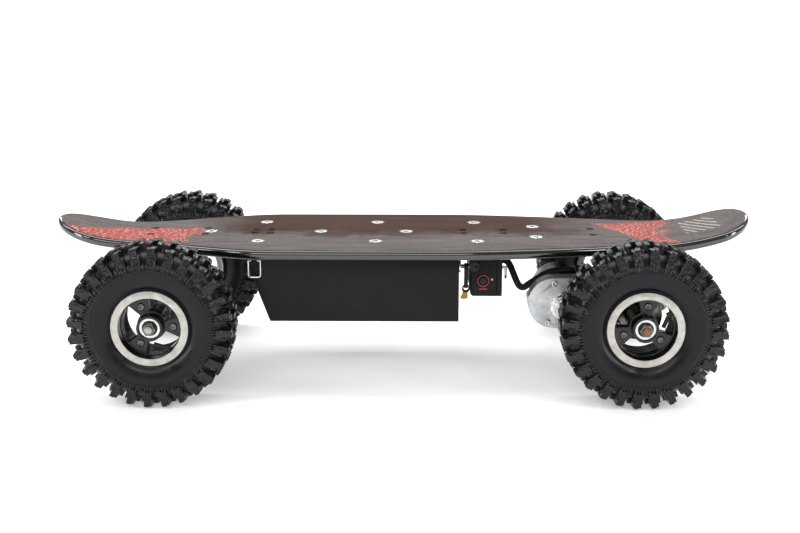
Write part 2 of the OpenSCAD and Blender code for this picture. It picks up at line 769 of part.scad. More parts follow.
// Flat strap, sewn into a closed loop
module key_loop() {
    span = strap_top_z - strap_low_z;
    color([0.1, 0.1, 0.1]) translate([loop_x, lock_y, strap_low_z]) rotate([90, 0, 90])
        translate([0, 0, -strap_w / 2]) linear_extrude(strap_w) difference() {
            strap_side(strap_bend_r + strap_t / 2, span);
            strap_side(strap_bend_r - strap_t / 2, span);
        }
}

module strap_side(r, span) {
    for (y = [0, span]) translate([0, y]) circle(r);
    translate([-r, 0]) square([2 * r, span]);
}

// Flat keys that hang on the strap, fanned out
module spare_keys() {
    hole_z = strap_low_z + strap_t / 2 - key_hole_r + key_hook_gap;
    color([0.75, 0.6, 0.25]) for (k = [0:2]) {
        side = (k - 1) * key_step;
        translate([loop_x, lock_y + side + key_thick / 2, hole_z - sqrt(pow(strap_bend_r, 2) - pow(side, 2))])
            rotate([90, key_fan[k], 0]) linear_extrude(key_thick) difference() {
                union() {
                    translate([0, -1]) circle(key_bow_r, $fn = 40);
                    polygon([[-2.4, -5], [2.4, -5], [2.4, -15], [1.5, -16],
                        [2, -17.2], [0, -19], [-2.4, -17.5]]);
                }
                circle(key_hole_r);
            }
    }
}

// Closed wire loop that swings on the ear
module wire_bail() {
    w = bail_half_w;
    c = bail_corner_r;
    color([0.85, 0.85, 0.85]) translate([bail_x, bail_y, bail_z]) {
        bar_x(0, 0, bail_wire_r, -w, w);
        for (s = [-1, 1]) {
            translate([s * w, 0, c - bail_drop]) cylinder(r = bail_wire_r, h = bail_drop - c);
            translate([s * w, 0, 0]) sphere(r = bail_wire_r, $fn = 24);
            translate([s * (w - c), 0, c - bail_drop]) rotate([90, 0, 0]) rotate([0, 0, s > 0 ? -90 : 180])
                rotate_extrude(angle = 90) translate([c, 0]) circle(bail_wire_r, $fn = 24);
        }
        bar_x(0, -bail_drop, bail_wire_r, c - w, w - c);
    }
}

// Control box
// Side outline, with one rounded lower corner
module control_side(inset, end_x) {
    x0 = control_x + inset;
    z0 = control_floor_z + inset;
    r = control_corner_r - inset;
    translate([x0 + r, z0]) square([end_x - x0 - r, deck_under_z - z0 + inset]);
    translate([x0, z0 + r]) square([r + 1, deck_under_z - z0 - r + inset]);
    translate([x0 + r, z0 + r]) circle(r);
}

module control_box() {
    half_w = control_width / 2;
    inner_y = -half_w + control_wall;
    color([0.1, 0.1, 0.1]) difference() {
        union() {
            slab(-half_w, half_w) intersection() {
                control_side(0, control_end_x);
                square([400, deck_under_z]);
            }
            bar_y(button_x, button_z, bezel_r, -half_w - bezel_h, -half_w + 1);
            translate([battery_back_x + 1, -tab_half_y, deck_under_z - 2 * lip_thick])
                cube([control_x - battery_back_x, 2 * tab_half_y, lip_thick]);
        }
        slab(inner_y, half_w - control_wall) control_side(control_wall, control_end_x + 5);
        bar_y(button_x, button_z, button_r + gap, -half_w - bezel_h - 1, inner_y + 1);
        box_bolt_holes(control_bolt_x);
    }
}

// End panel with a spigot inside the box, a tab under the deck and the lead's outlet
module control_end_panel() {
    half_w = control_width / 2;
    spigot = control_wall + 0.2;
    color([0.12, 0.12, 0.12]) difference() {
        union() {
            translate([control_end_x, -half_w, control_floor_z])
                cube([panel_thick, control_width, deck_under_z - control_floor_z]);
            translate([control_end_x - 3, -half_w + spigot, control_floor_z + spigot])
                cube([4, control_width - 2 * spigot, deck_under_z - control_floor_z - spigot - 1]);
            translate([panel_end_x - 1, -tab_half_y, deck_under_z - lip_thick])
                cube([panel_tab_len + 1, 2 * tab_half_y, lip_thick]);
        }
        box_bolt_holes(panel_bolt_x);
    }
}

module controller_board() {
    z = control_floor_z + control_wall;
    color([0.1, 0.35, 0.2]) {
        translate([control_x + 7, -55, z]) cube([control_len - 12, 110, 6]);
        for (i = [0:4]) translate([control_x + 9, -50 + i * 22, z + 5]) cube([control_len - 18, 12, 9]);
    }
}

// Push button: its face stands in the bezel and its collar stops it inside the wall
module power_button() {
    half_w = control_width / 2;
    collar_y = -half_w + control_wall + 3;
    color([0.5, 0.1, 0.1]) {
        bar_y(button_x, button_z, button_r, -half_w - bezel_h - 1.5, collar_y + button_travel);
        bar_y(button_x, button_z, button_r + 2, -half_w + control_wall + gap, collar_y);
    }
}

module receiver_aerial() {
    x = panel_end_x + 5.5;
    z = 186;
    sleeve_low = 173;
    tip_low = 169;
    color([0.75, 0.75, 0.72]) translate([0, -battery_width / 2 + 30, 0]) {
        bar_x(0, z, 2.6, panel_end_x, x);
        translate([x, 0, z]) sphere(r = 2.6, $fn = 24);
        translate([x, 0, sleeve_low]) cylinder(r = 2.6, h = z - sleeve_low);
        translate([x, 0, tip_low]) cylinder(r = 2, h = sleeve_low - tip_low + 0.5);
        translate([x, 0, tip_low]) sphere(r = 2, $fn = 24);
    }
}

// Motor lead
function lead_dir(i) = let (n = len(lead_route) - 1,
    d = lead_route[min(n, i + 1)] - lead_route[max(0, i - 1)]) i == 0 || i == n ? [1, 0, 0] : d / norm(d);
module motor_lead() {
    n = len(lead_route);
    ring = [for (i = [0:n - 1]) let (t = lead_dir(i), u = cross([0, 1, 0], t), w = u / norm(u), v = cross(t, w))
        for (k = [0:lead_sides - 1]) let (a = 360 * k / lead_sides)
            lead_route[i] + lead_r * (cos(a) * w + sin(a) * v)];
    sides = [for (i = [0:n - 2], k = [0:lead_sides - 1]) let (a = i * lead_sides, b = a + lead_sides,
        m = (k + 1) % lead_sides) each [[a + k, a + m, b + m], [a + k, b + m, b + k]]];
    caps = [[for (k = [lead_sides - 1:-1:0]) k], [for (k = [0:lead_sides - 1]) (n - 1) * lead_sides + k]];
    color([0.06, 0.06, 0.06]) polyhedron(ring, concat([for (f = sides) [f[0], f[2], f[1]]],
        [for (c = caps) [for (i = [len(c) - 1:-1:0]) c[i]]]));
}

// Drive
function polar(rb, r) = let (a = sqrt(max(0, r * r / (rb * rb) - 1)) * 180 / PI) a - atan(a * PI / 180);
// Involute spur gear outline, with the backlash shared by its two flanks
module gear_outline(teeth) {
    rp = gear_module * teeth / 2;
    rb = rp * cos(pressure_angle);
    root = rp - 1.3 * gear_module;
    tip = rp + gear_module;
    half = 90 / teeth - backlash / 4 / rp * 180 / PI + polar(rb, rp);
    rs = [root, max(rb, root + 0.01), rp, (rp + tip) / 2, tip];
    function flank(r) = half - polar(rb, r);
    polygon([for (k = [0:teeth - 1]) let (a = 360 * k / teeth) each concat(
        [for (r = rs) r * [cos(a - flank(r)), sin(a - flank(r))]],
        [for (i = [4:-1:0]) rs[i] * [cos(a + flank(rs[i])), sin(a + flank(rs[i]))]])]);
}

module gear_at(x, teeth, turn) {
    slab(gear_near_y, gear_far_y) translate([x, axle_z]) rotate(turn) gear_outline(teeth);
}

module motor_can() {
    near = case_far_y;
    far = near + motor_len;
    t = terminal;
    color([0.13, 0.13, 0.14]) difference() {
        union() {
            bar_y(motor_x, axle_z, motor_r, near, far);
            bar_y(motor_x, axle_z, 14, far - 1, far + 6);
            translate(t[0]) cube(t[1] - t[0]);
        }
        bar_y(motor_x, axle_z, rotor_r + rotor_gap, near - 1, far - 8);
        bar_y(motor_x, axle_z, shaft_r + fit, far - 9, far + 4);
    }
}

// Armature, shaft and pinion turn as one
module motor_rotor() {
    far = case_far_y + motor_len;
    color([0.6, 0.4, 0.25]) {
        bar_y(motor_x, axle_z, rotor_r, case_far_y + 8, far - 22);
        bar_y(motor_x, axle_z, shaft_r, gear_near_y, far + 3);
        gear_at(motor_x, pinion_teeth, 180 / pinion_teeth);
    }
}

module case_outline() {
    belt_shape(case_nose, case_nose_r, [rear_x, axle_z], case_tail_r);
    translate(case_screws[4]) circle(8);
    translate([case_nose[0] - 33, case_nose[1] + 6]) circle(10);
}

module gear_housing() {
    color([0.62, 0.63, 0.64]) difference() {
        slab(case_near_y, case_far_y) case_outline();
        for (g = [[motor_x, pinion_pr], [idler_x, idler_pr], [rear_x, output_pr]])
            bar_y(g[0], axle_z, g[1] + gear_module + pocket_gap, case_near_y - 1, case_far_y - case_back);
        bar_y(motor_x, axle_z, shaft_r + 8, case_near_y - 1, case_far_y + 1);
        bar_y(rear_x, axle_z, tube_r + fit, case_near_y - 1, case_far_y + 1);
        bar_y(idler_x, axle_z, idler_pin_r + fit, case_near_y - 1, case_far_y + 1);
        for (p = case_screws) bar_y(p[0], p[1], case_screw_r + fit, case_near_y - 1, case_far_y - 4);
    }
}

module gear_cover() {
    color([0.68, 0.69, 0.7]) difference() {
        union() {
            slab(cover_near_y, case_near_y) case_outline();
            for (b = cover_boss) bar_y(motor_x, axle_z, b[0], cover_near_y - b[1], case_near_y - 1);
            bar_y(rear_x, axle_z, sleeve_out_r + 9, cover_near_y - 4, case_near_y - 1);
        }
        bar_y(rear_x, axle_z, sleeve_out_r + gap, cover_near_y - 5, case_near_y + 1);
        bar_y(idler_x, axle_z, idler_pin_r + fit, case_near_y - 3, case_near_y + 1);
        for (p = case_screws) bar_y(p[0], p[1], case_screw_r + fit, cover_near_y - 1, case_near_y + 1);
    }
}

module gear_screws() {
    head_h = 4;
    color([0.8, 0.8, 0.8]) for (p = case_screws) difference() {
        union() {
            bar_y(p[0], p[1], case_screw_r, cover_near_y - 1, case_far_y - 6);
            bar_y(p[0], p[1], 4.4, cover_near_y - head_h, cover_near_y);
        }
        translate([p[0], cover_near_y - head_h + 2.5, p[1]]) rotate([90, 0, 0])
            cylinder(r = 2.3, h = 4, $fn = 6);
    }
}

module idler_pin() {
    color([0.7, 0.7, 0.72]) bar_y(idler_x, axle_z, idler_pin_r, case_near_y - 3 + gap, case_far_y);
}

module idler_gear() {
    color([0.55, 0.55, 0.5]) difference() {
        gear_at(idler_x, idler_teeth, 180 / idler_teeth);
        bar_y(idler_x, axle_z, idler_pin_r + fit, gear_near_y - 1, gear_far_y + 1);
        for (a = [0:60:300])
            bar_y(idler_x + 18 * cos(a), axle_z + 18 * sin(a), 5.5, gear_near_y - 1, gear_far_y + 1);
    }
}

// Output gear, its sleeve round the axle, and the spider whose pins drive the rear left wheel
module output_gear() {
    pin_end = -track / 2 - disc_mid_t + disc_thick;
    first = rim_turns[1][0];
    color([0.55, 0.55, 0.5]) difference() {
        union() {
            gear_at(rear_x, output_teeth, 180);
            bar_y(rear_x, axle_z, sleeve_out_r, spider_y, gear_near_y + 1);
            bar_y(rear_x, axle_z, spider_r, spider_y, spider_y + 4);
            for (i = [0:spokes - 1]) let (a = first + i * 360 / spokes, c = rim_bolt_pcr * [cos(a), sin(a)])
                bar_y(rear_x + c[0], axle_z + c[1], drive_pin_r, pin_end, spider_y + 1);
        }
        bar_y(rear_x, axle_z, axle_r + fit, spider_y - 1, gear_far_y + 1);
    }
}

// Assembly
deck();
grip_tape();
star_inserts();
countersunk_bolts();
truck_channel(-1);  // front_channel
truck_channel(1);  // rear_channel
king_bolts();
elastomers(-1);  // front_elastomers
elastomers(1);  // rear_elastomers
battery_box();
batteries();
key_lock();
ignition_key();
key_loop();
spare_keys();
wire_bail();
control_box();
control_end_panel();
controller_board();
power_button();
receiver_aerial();
motor_lead();
hanger(-1, -hanger_half, hanger_half);  // front_hanger
axle(front_x, true, true);  // front_axle
axle_nuts(front_x);  // front_axle_nuts
hanger(1, case_far_y - case_back, hanger_half);  // rear_hanger
axle(rear_x, false, true);  // rear_axle
axle_nuts(rear_x);  // rear_axle_nuts
motor_can();
motor_rotor();
gear_housing();
gear_cover();
gear_screws();
idler_pin();
idler_gear();
output_gear();
for (e = [0, 1], s = [0, 1]) {
    name = str(ENDS[e], "_", SIDES[s], "_");
    tyre(2 * e - 1, 2 * s - 1);
    inner_tube(2 * e - 1, 2 * s - 1);
    rim_outer(2 * e - 1, 2 * s - 1);
    rim_inner(2 * e - 1, 2 * s - 1);
    bearings(2 * e - 1, 2 * s - 1);
    rim_bolts(2 * e - 1, 2 * s - 1);
}
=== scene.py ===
import bpy
import json
import math
import random
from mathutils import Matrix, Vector


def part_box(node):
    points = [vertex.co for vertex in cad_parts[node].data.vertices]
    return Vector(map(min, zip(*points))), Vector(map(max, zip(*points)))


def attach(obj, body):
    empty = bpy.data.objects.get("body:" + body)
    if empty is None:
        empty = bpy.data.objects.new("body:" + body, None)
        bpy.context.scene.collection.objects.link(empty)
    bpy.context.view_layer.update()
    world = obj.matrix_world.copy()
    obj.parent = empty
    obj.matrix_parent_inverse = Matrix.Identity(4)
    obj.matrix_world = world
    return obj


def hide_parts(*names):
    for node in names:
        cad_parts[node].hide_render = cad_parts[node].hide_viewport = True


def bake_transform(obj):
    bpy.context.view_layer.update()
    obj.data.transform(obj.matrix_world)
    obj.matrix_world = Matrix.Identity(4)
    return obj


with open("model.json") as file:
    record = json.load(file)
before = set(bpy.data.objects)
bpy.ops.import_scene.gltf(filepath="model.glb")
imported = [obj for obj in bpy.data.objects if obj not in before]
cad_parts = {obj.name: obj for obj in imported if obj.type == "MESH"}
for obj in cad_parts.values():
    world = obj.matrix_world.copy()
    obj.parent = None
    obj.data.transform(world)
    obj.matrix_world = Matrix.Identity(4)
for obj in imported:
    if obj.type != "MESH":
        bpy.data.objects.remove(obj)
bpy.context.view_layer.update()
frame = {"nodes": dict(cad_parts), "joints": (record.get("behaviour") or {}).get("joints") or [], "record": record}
nodes = frame["nodes"]
hinges = {j["name"]: Vector(j["pos_m"]) for j in frame["joints"] if "pos_m" in j}
mm = 0.001
weld = 0.01 * mm  # corners nearer than this are one
random.seed(7)
wheels = {"front_left": -1, "front_right": 1, "rear_left": -1, "rear_right": 1}  # which way each one faces
print("frame loaded:", len(nodes), "nodes")


def hexColour(code):
    parts = [int(code[i:i + 2], 16) / 255 for i in (1, 3, 5)]
    return [c / 12.92 if c <= 0.04045 else ((c + 0.055) / 1.055) ** 2.4 for c in parts] + [1.0]


# joins inputs of a node to other nodes; a node stands for its first output
def joinInputs(tree, node, links):
    for key, source in links.items():
        tree.links.new(source.outputs[0] if hasattr(source, "outputs") else source, node.inputs[key])


# adds a shader node; a setting is an attribute or an input's value
def addNode(tree, kind, settings=None, links=None):
    node = tree.nodes.new("ShaderNode" + kind)
    for key, value in (settings or {}).items():
        if key == "stops":
            while len(node.color_ramp.elements) < len(value):
                node.color_ramp.elements.new(0.5)
            for element, (place, colour) in zip(node.color_ramp.elements, value):
                element.position = place
                element.color = hexColour(colour)
        elif isinstance(key, str) and hasattr(node, key):
            setattr(node, key, value)
        else:
            node.inputs[key].default_value = value
    joinInputs(tree, node, links or {})
    return node


def startMaterial(name, settings):
    material = bpy.data.materials.new(name)
    material.use_nodes = True
    tree = material.node_tree
    shader = tree.nodes["Principled BSDF"]
    for key, value in settings.items():
        shader.inputs[key].default_value = value
    coords = addNode(tree, "TexCoord")
    return material, tree, shader, coords


# camera: a long lens a little above the deck, in front of the board's left side
camera = {"place": (19.4, -2131.0, 714.2), "down": 0.2505, "turn": 0.0106, "lens": 59.36, "sensor": 36}
bpy.ops.object.camera_add(location=[v * mm for v in camera["place"]],
                          rotation=(math.pi / 2 - camera["down"], 0, camera["turn"]))
bpy.context.object.data.lens = camera["lens"]
bpy.context.object.data.sensor_width = camera["sensor"]
bpy.context.scene.camera = bpy.context.object

# studio: soft boxes overhead and in front, strips at the ends, pale floor
world = bpy.data.worlds.new("studioAir")
bpy.context.scene.world = world
world.use_nodes = True
world.node_tree.nodes["Background"].inputs["Color"].default_value = hexColour("#ffffff")
world.node_tree.nodes["Background"].inputs["Strength"].default_value = 0.4
bpy.context.scene.view_settings.view_transform = "Standard"
softBoxes = {
    "overheadBox": {"place": (0, 0.5, 2.1), "size": (5.0, 0.9), "power": 62},
    "leftKey": {"place": (-1.5, -1.5, 1.5), "size": (0.3, 0.3), "power": 5},
    "rightKey": {"place": (1.3, -1.6, 1.3), "size": (0.3, 0.3), "power": 6},
    "frontBox": {"place": (-0.4, -2.4, 1.7), "size": (2.0, 0.7), "power": 26},
    "leftStrip": {"place": (-1.7, -1.0, 0.7), "size": (0.35, 1.2), "power": 12},
    "rightStrip": {"place": (1.7, -1.0, 0.7), "size": (0.35, 1.2), "power": 14},
    "backStrip": {"place": (0.0, 1.9, 1.1), "size": (2.4, 0.3), "power": 12},
}
boardMiddle = Vector((0, 0, 0.16))
for name, box in softBoxes.items():
    bpy.ops.object.light_add(type="AREA", location=box["place"])
    lamp = bpy.context.object
    lamp.name = name
    lamp.data.shape = "RECTANGLE"
    lamp.data.size, lamp.data.size_y = box["size"]
    lamp.data.energy = box["power"]
    lamp.rotation_euler = (boardMiddle - lamp.location).to_track_quat("-Z", "Y").to_euler()
print("camera and studio set")


def spreadTo(limits):  # the usual span of a noise pattern, stretched over the limits
    return {"From Min": 0.3, "From Max": 0.7, "To Min": limits[0], "To Max": limits[1]}


# Common pattern for sprayed, cast, moulded and plated surfaces: broad tint patches, a fine grain in relief
# and a gloss that varies with the patches. Sizes are in millimetres, gloss is the range of roughness.
def makeFinish(name, base, tint, patch, grain, relief, gloss, metal=0.0, coat=0.0, ior=1.5, shine=0.5):
    settings = {"Metallic": metal, "Coat Weight": coat, "Coat Roughness": 0.06, "IOR": ior,
                "Specular IOR Level": shine}
    material, tree, shader, coords = startMaterial(name, settings)
    patches = addNode(tree, "TexNoise", {"Scale": 1000 / patch, "Detail": 5.0, "Roughness": 0.6},
                      {"Vector": coords.outputs["Object"]})
    grains = addNode(tree, "TexNoise", {"Scale": 1000 / grain, "Detail": 2.0},
                     {"Vector": coords.outputs["Object"]})
    ramp = addNode(tree, "ValToRGB", {"stops": [(0.35, base), (0.72, tint)]}, {"Fac": patches})
    rough = addNode(tree, "MapRange", spreadTo(gloss), {"Value": patches})
    bump = addNode(tree, "Bump", {"Strength": 0.6, "Distance": relief * mm}, {"Height": grains})
    joinInputs(tree, shader, {"Base Color": ramp, "Roughness": rough, "Normal": bump})
    return material


# Finish turned on a lathe: rings that follow the piece's own round map, u round and v outwards in metres
def makeTurned(name, base, tint, pitch, relief, gloss):
    material, tree, shader, coords = startMaterial(name, {"Metallic": 1.0, "Anisotropic": 0.5})
    split = addNode(tree, "SeparateXYZ", links={"Vector": coords.outputs["UV"]})
    rings = addNode(tree, "Math", {"operation": "MULTIPLY", 1: 2 * math.pi * 1000 / pitch},
                    {0: split.outputs["Y"]})
    wave = addNode(tree, "Math", {"operation": "SINE"}, {0: rings})
    cloud = addNode(tree, "TexNoise", {"Scale": 90.0, "Detail": 6.0}, {"Vector": coords.outputs["Object"]})
    ramp = addNode(tree, "ValToRGB", {"stops": [(0.3, base), (0.75, tint)]}, {"Fac": cloud})
    rough = addNode(tree, "MapRange", spreadTo(gloss), {"Value": cloud})
    bump = addNode(tree, "Bump", {"Strength": 0.5, "Distance": relief * mm}, {"Height": wave})
    joinInputs(tree, shader, {"Base Color": ramp, "Roughness": rough, "Normal": bump})
    return material


# each finish by its name: two tints, then sizes in millimetres as makeFinish takes them
finishSizes = {
    # sprayed gloss lacquer over black-stained ply: sharp white reflections along the bull-nosed edge
    "blackLacquer": ("#060505", "#0c0a0a", 60, 2.5, 0.01, (0.04, 0.1), {"coat": 1.0}),
    # powder coat on folded sheet: satin black with a fine orange peel
    "blackPowderCoat": ("#0e0e0e", "#161616", 45, 1.6, 0.05, (0.42, 0.55), {"shine": 0.16}),
    # brown-black powder coat of the control box, a little warmer than the battery box
    "warmPowderCoat": ("#0f0b0a", "#181211", 30, 1.6, 0.06, (0.42, 0.55), {"shine": 0.18}),
    # stove enamel on the pressed rim halves: deep black, wet looking on the curves
    "blackEnamel": ("#080809", "#101012", 25, 2.0, 0.03, (0.16, 0.3), {"shine": 0.4}),
    # heavier powder coat on the truck plates
    "truckCoat": ("#161618", "#202022", 30, 1.2, 0.08, (0.4, 0.55), {"shine": 0.3}),
    # sand-cast iron hanger, shot blasted and clear coated: dull grey with a coarse skin
    "blastedCasting": ("#4a4c4f", "#5b5d60", 22, 1.1, 0.14, (0.45, 0.62), {"metal": 0.75}),
    # pressure die cast aluminium, bead blasted: pale, soft highlights, darker where oil has dried
    "dieCastAluminium": ("#c3c5c6", "#94979a", 26, 0.8, 0.07, (0.34, 0.52), {"metal": 0.85}),
    # zinc plate dulled by handling, on nuts and rim bolts: grey with brown patches
    "dullZinc": ("#6f6e6a", "#514e48", 6, 0.6, 0.03, (0.2, 0.34), {"metal": 1.0}),
    # the same plate kept bright on the small fasteners
    "brightZinc": ("#cfd0d1", "#b3b2a8", 9, 0.6, 0.02, (0.2, 0.34), {"metal": 1.0}),
    # black oxide on the countersunk bolts
    "blackOxide": ("#17171a", "#26262a", 5, 0.5, 0.02, (0.3, 0.45), {"metal": 0.7}),
    # turned steel bar, lightly oiled
    "turnedSteel": ("#a6a5a1", "#83807a", 14, 0.4, 0.02, (0.22, 0.36), {"metal": 1.0}),
    # hobbed gear steel with an oil film
    "oiledGearSteel": ("#77756f", "#5b5853", 10, 0.7, 0.03, (0.18, 0.3), {"metal": 1.0, "coat": 0.3}),
    # rolled zinc wire, polished by handling
    "brightWire": ("#dcdcda", "#bdbcb6", 7, 0.5, 0.01, (0.12, 0.22), {"metal": 1.0}),
    # chromed brass lock barrel
    "chromedBarrel": ("#e2e2e2", "#cfcfcf", 8, 0.6, 0.005, (0.05, 0.12), {"metal": 1.0}),
    # stamped brass key blanks, tarnished in the cuts
    "stampedBrass": ("#94733a", "#6d5426", 6, 0.5, 0.02, (0.26, 0.42), {"metal": 1.0}),
    # moulded ABS key heads and button: fine spark-eroded texture
    "mouldedAbs": ("#101011", "#171718", 12, 0.5, 0.03, (0.4, 0.5), {"ior": 1.54, "shine": 0.25}),
    # pale PVC sleeve over the aerial's whip
    "paleSleeve": ("#cfcbbf", "#b5b0a2", 8, 0.8, 0.02, (0.42, 0.55), {"ior": 1.53}),
    # soft moulded rubber: valve stems, bearing seals, the aerial's tip
    "mouldedRubber": ("#161616", "#1f1e1d", 10, 0.6, 0.05, (0.5, 0.68), {"ior": 1.52, "shine": 0.35}),
    # urethane truck blocks, dusty black
    "urethane": ("#1f1c1a", "#2b2724", 16, 1.0, 0.04, (0.36, 0.5), {}),
    # battery cases, moulded ABS with a matt skin
    "batteryCase": ("#23262b", "#2c3036", 30, 0.8, 0.05, (0.5, 0.6), {"ior": 1.54}),
    # solder resist over copper tracks
    "solderResist": ("#0d3a20", "#15522e", 3, 0.8, 0.03, (0.25, 0.35), {}),
    # varnished laminations of the armature
    "varnishedIron": ("#5d4534", "#42352b", 5, 0.5, 0.06, (0.35, 0.5), {"metal": 0.6}),
    # red screen print round the switch
    "redRing": ("#b8352b", "#9c2a22", 6, 0.6, 0.01, (0.35, 0.45), {}),
    # clear acrylic lens of the power lamp, moulded and glossy
    "lampLens": ("#b9b2b0", "#d9cfcc", 3, 0.5, 0.005, (0.08, 0.14), {"coat": 0.4, "ior": 1.49}),
    # stepped motor boss on the gear cover, skimmed bright
    "skimmedBoss": ("#d4d5d6", "#a5a7aa", 9, 0.5, 0.02, (0.16, 0.28), {"metal": 1.0}),
    # rusted end of the rear axle's thread, where the plating has worn off
    "wornThread": ("#8a5a42", "#5c3d2f", 4, 0.6, 0.05, (0.35, 0.5), {"metal": 0.8}),
}
finishes = {name: makeFinish(name, *sizes, **extra) for name, (*sizes, extra) in finishSizes.items()}
# facing cut on the rim lip: bright rings about a third of a millimetre apart, drawn at 0.9 mm to show
finishes["facedLip"] = makeTurned("facedLip", "#b2b0ab", "#989590", 0.9, 0.02, (0.3, 0.42))
# ground bearing rings, much finer in truth than the 0.7 mm they are drawn at
finishes["groundRing"] = makeTurned("groundRing", "#cdcdca", "#b6b5b0", 0.7, 0.008, (0.16, 0.26))


# Tyre rubber: blue-black, slightly glossy from mould release, with fine rings on the sidewall and torn,
# glossier lugs. Sizes are in millimetres, the wall's and the tread's edges in metres from the axle.
rubberSizes = {"cloud": 22, "grain": 0.9, "ring": 1.6, "flake": 4.2, "fineRelief": 0.06, "tornRelief": 1.1,
               "wall": (0.096, 0.090), "tread": (0.094, 0.102), "gloss": (0.2, 0.4)}


def makeTyreRubber():
    sizes = rubberSizes
    settings = {"IOR": 1.52, "Specular IOR Level": 0.2, "Coat Roughness": 0.16}
    material, tree, shader, coords = startMaterial("vulcanisedRubber", settings)
    split = addNode(tree, "SeparateXYZ", links={"Vector": coords.outputs["UV"]})
    cloud = addNode(tree, "TexNoise", {"Scale": 1000 / sizes["cloud"], "Detail": 6.0, "Roughness": 0.65},
                    {"Vector": coords.outputs["Object"]})
    grain = addNode(tree, "TexNoise", {"Scale": 1000 / sizes["grain"], "Detail": 3.0},
                    {"Vector": coords.outputs["Object"]})
    ramp = addNode(tree, "ValToRGB", {"stops": [(0.32, "#08080b"), (0.6, "#0d0d11"), (0.8, "#17171b")]},
                   {"Fac": cloud})
    # rings on the sidewall only, fading out where the lugs start
    rings = addNode(tree, "Math", {"operation": "MULTIPLY", 1: 2 * math.pi * 1000 / sizes["ring"]},
                    {0: split.outputs["Y"]})
    wave = addNode(tree, "Math", {"operation": "SINE"}, {0: rings})
    start, end = sizes["wall"]
    wall = addNode(tree, "MapRange", {"From Min": start, "From Max": end, "To Min": 0.0, "To Max": 0.25},
                   {"Value": split.outputs["Y"]})
    ringed = addNode(tree, "Math", {"operation": "MULTIPLY"}, {0: wave, 1: wall})
    height = addNode(tree, "Math", {"operation": "ADD"}, {0: ringed, 1: grain})
    fine = addNode(tree, "Bump", {"Strength": 0.55, "Distance": sizes["fineRelief"] * mm}, {"Height": height})
    # torn skin of the lugs in flakes that catch the light, and a wet gloss on the lugs alone
    start, end = sizes["tread"]
    tread = addNode(tree, "MapRange", {"From Min": start, "From Max": end}, {"Value": split.outputs["Y"]})
    flakes = addNode(tree, "TexVoronoi",
                     {"feature": "SMOOTH_F1", "Scale": 1000 / sizes["flake"], "Smoothness": 0.5},
                     {"Vector": coords.outputs["Object"]})
    torn = addNode(tree, "Math", {"operation": "MULTIPLY"}, {0: flakes, 1: tread})
    bump = addNode(tree, "Bump", {"Strength": 0.8, "Distance": sizes["tornRelief"] * mm},
                   {"Height": torn, "Normal": fine})
    wet = addNode(tree, "MapRange", {"From Min": start, "From Max": end, "To Max": 0.28},
                  {"Value": split.outputs["Y"]})
    rough = addNode(tree, "MapRange", spreadTo(sizes["gloss"]), {"Value": cloud})
    joinInputs(tree, shader, {"Base Color": ramp, "Normal": bump, "Coat Weight": wet, "Coat Normal": bump,
                              "Roughness": rough})
    return material


finishes["vulcanisedRubber"] = makeTyreRubber()


# Nylon webbing of the key strap: ribs of 1.1 mm across its width, a dull sheen; its colour follows the relief,
# with painted sheen on the raised weave and painted shade in the hollows
def makeStrapWeave():
    settings = {"Roughness": 0.7, "Specular IOR Level": 0.3}
    material, tree, shader, coords = startMaterial("wovenStrap", settings)
    split = addNode(tree, "SeparateXYZ", links={"Vector": coords.outputs["Object"]})
    waves = []
    for axis, spacing in (("Z", 0.0011), ("X", 0.0016)):
        turns = addNode(tree, "Math", {"operation": "MULTIPLY", 1: 2 * math.pi / spacing},
                        {0: split.outputs[axis]})
        waves.append(addNode(tree, "Math", {"operation": "SINE"}, {0: turns}))
    weave = addNode(tree, "Math", {"operation": "MULTIPLY"}, {0: waves[0], 1: waves[1]})
    # painted sheen on the raised weave, painted shade in its hollows
    ramp = addNode(tree, "ValToRGB", {"stops": [(0.0, "#0b0a0a"), (1.0, "#1c1918")]}, {"Fac": weave})
    bump = addNode(tree, "Bump", {"Strength": 0.7, "Distance": 0.2 * mm}, {"Height": weave})
    joinInputs(tree, shader, {"Base Color": ramp, "Normal": bump})
    return material


finishes["wovenStrap"] = makeStrapWeave()
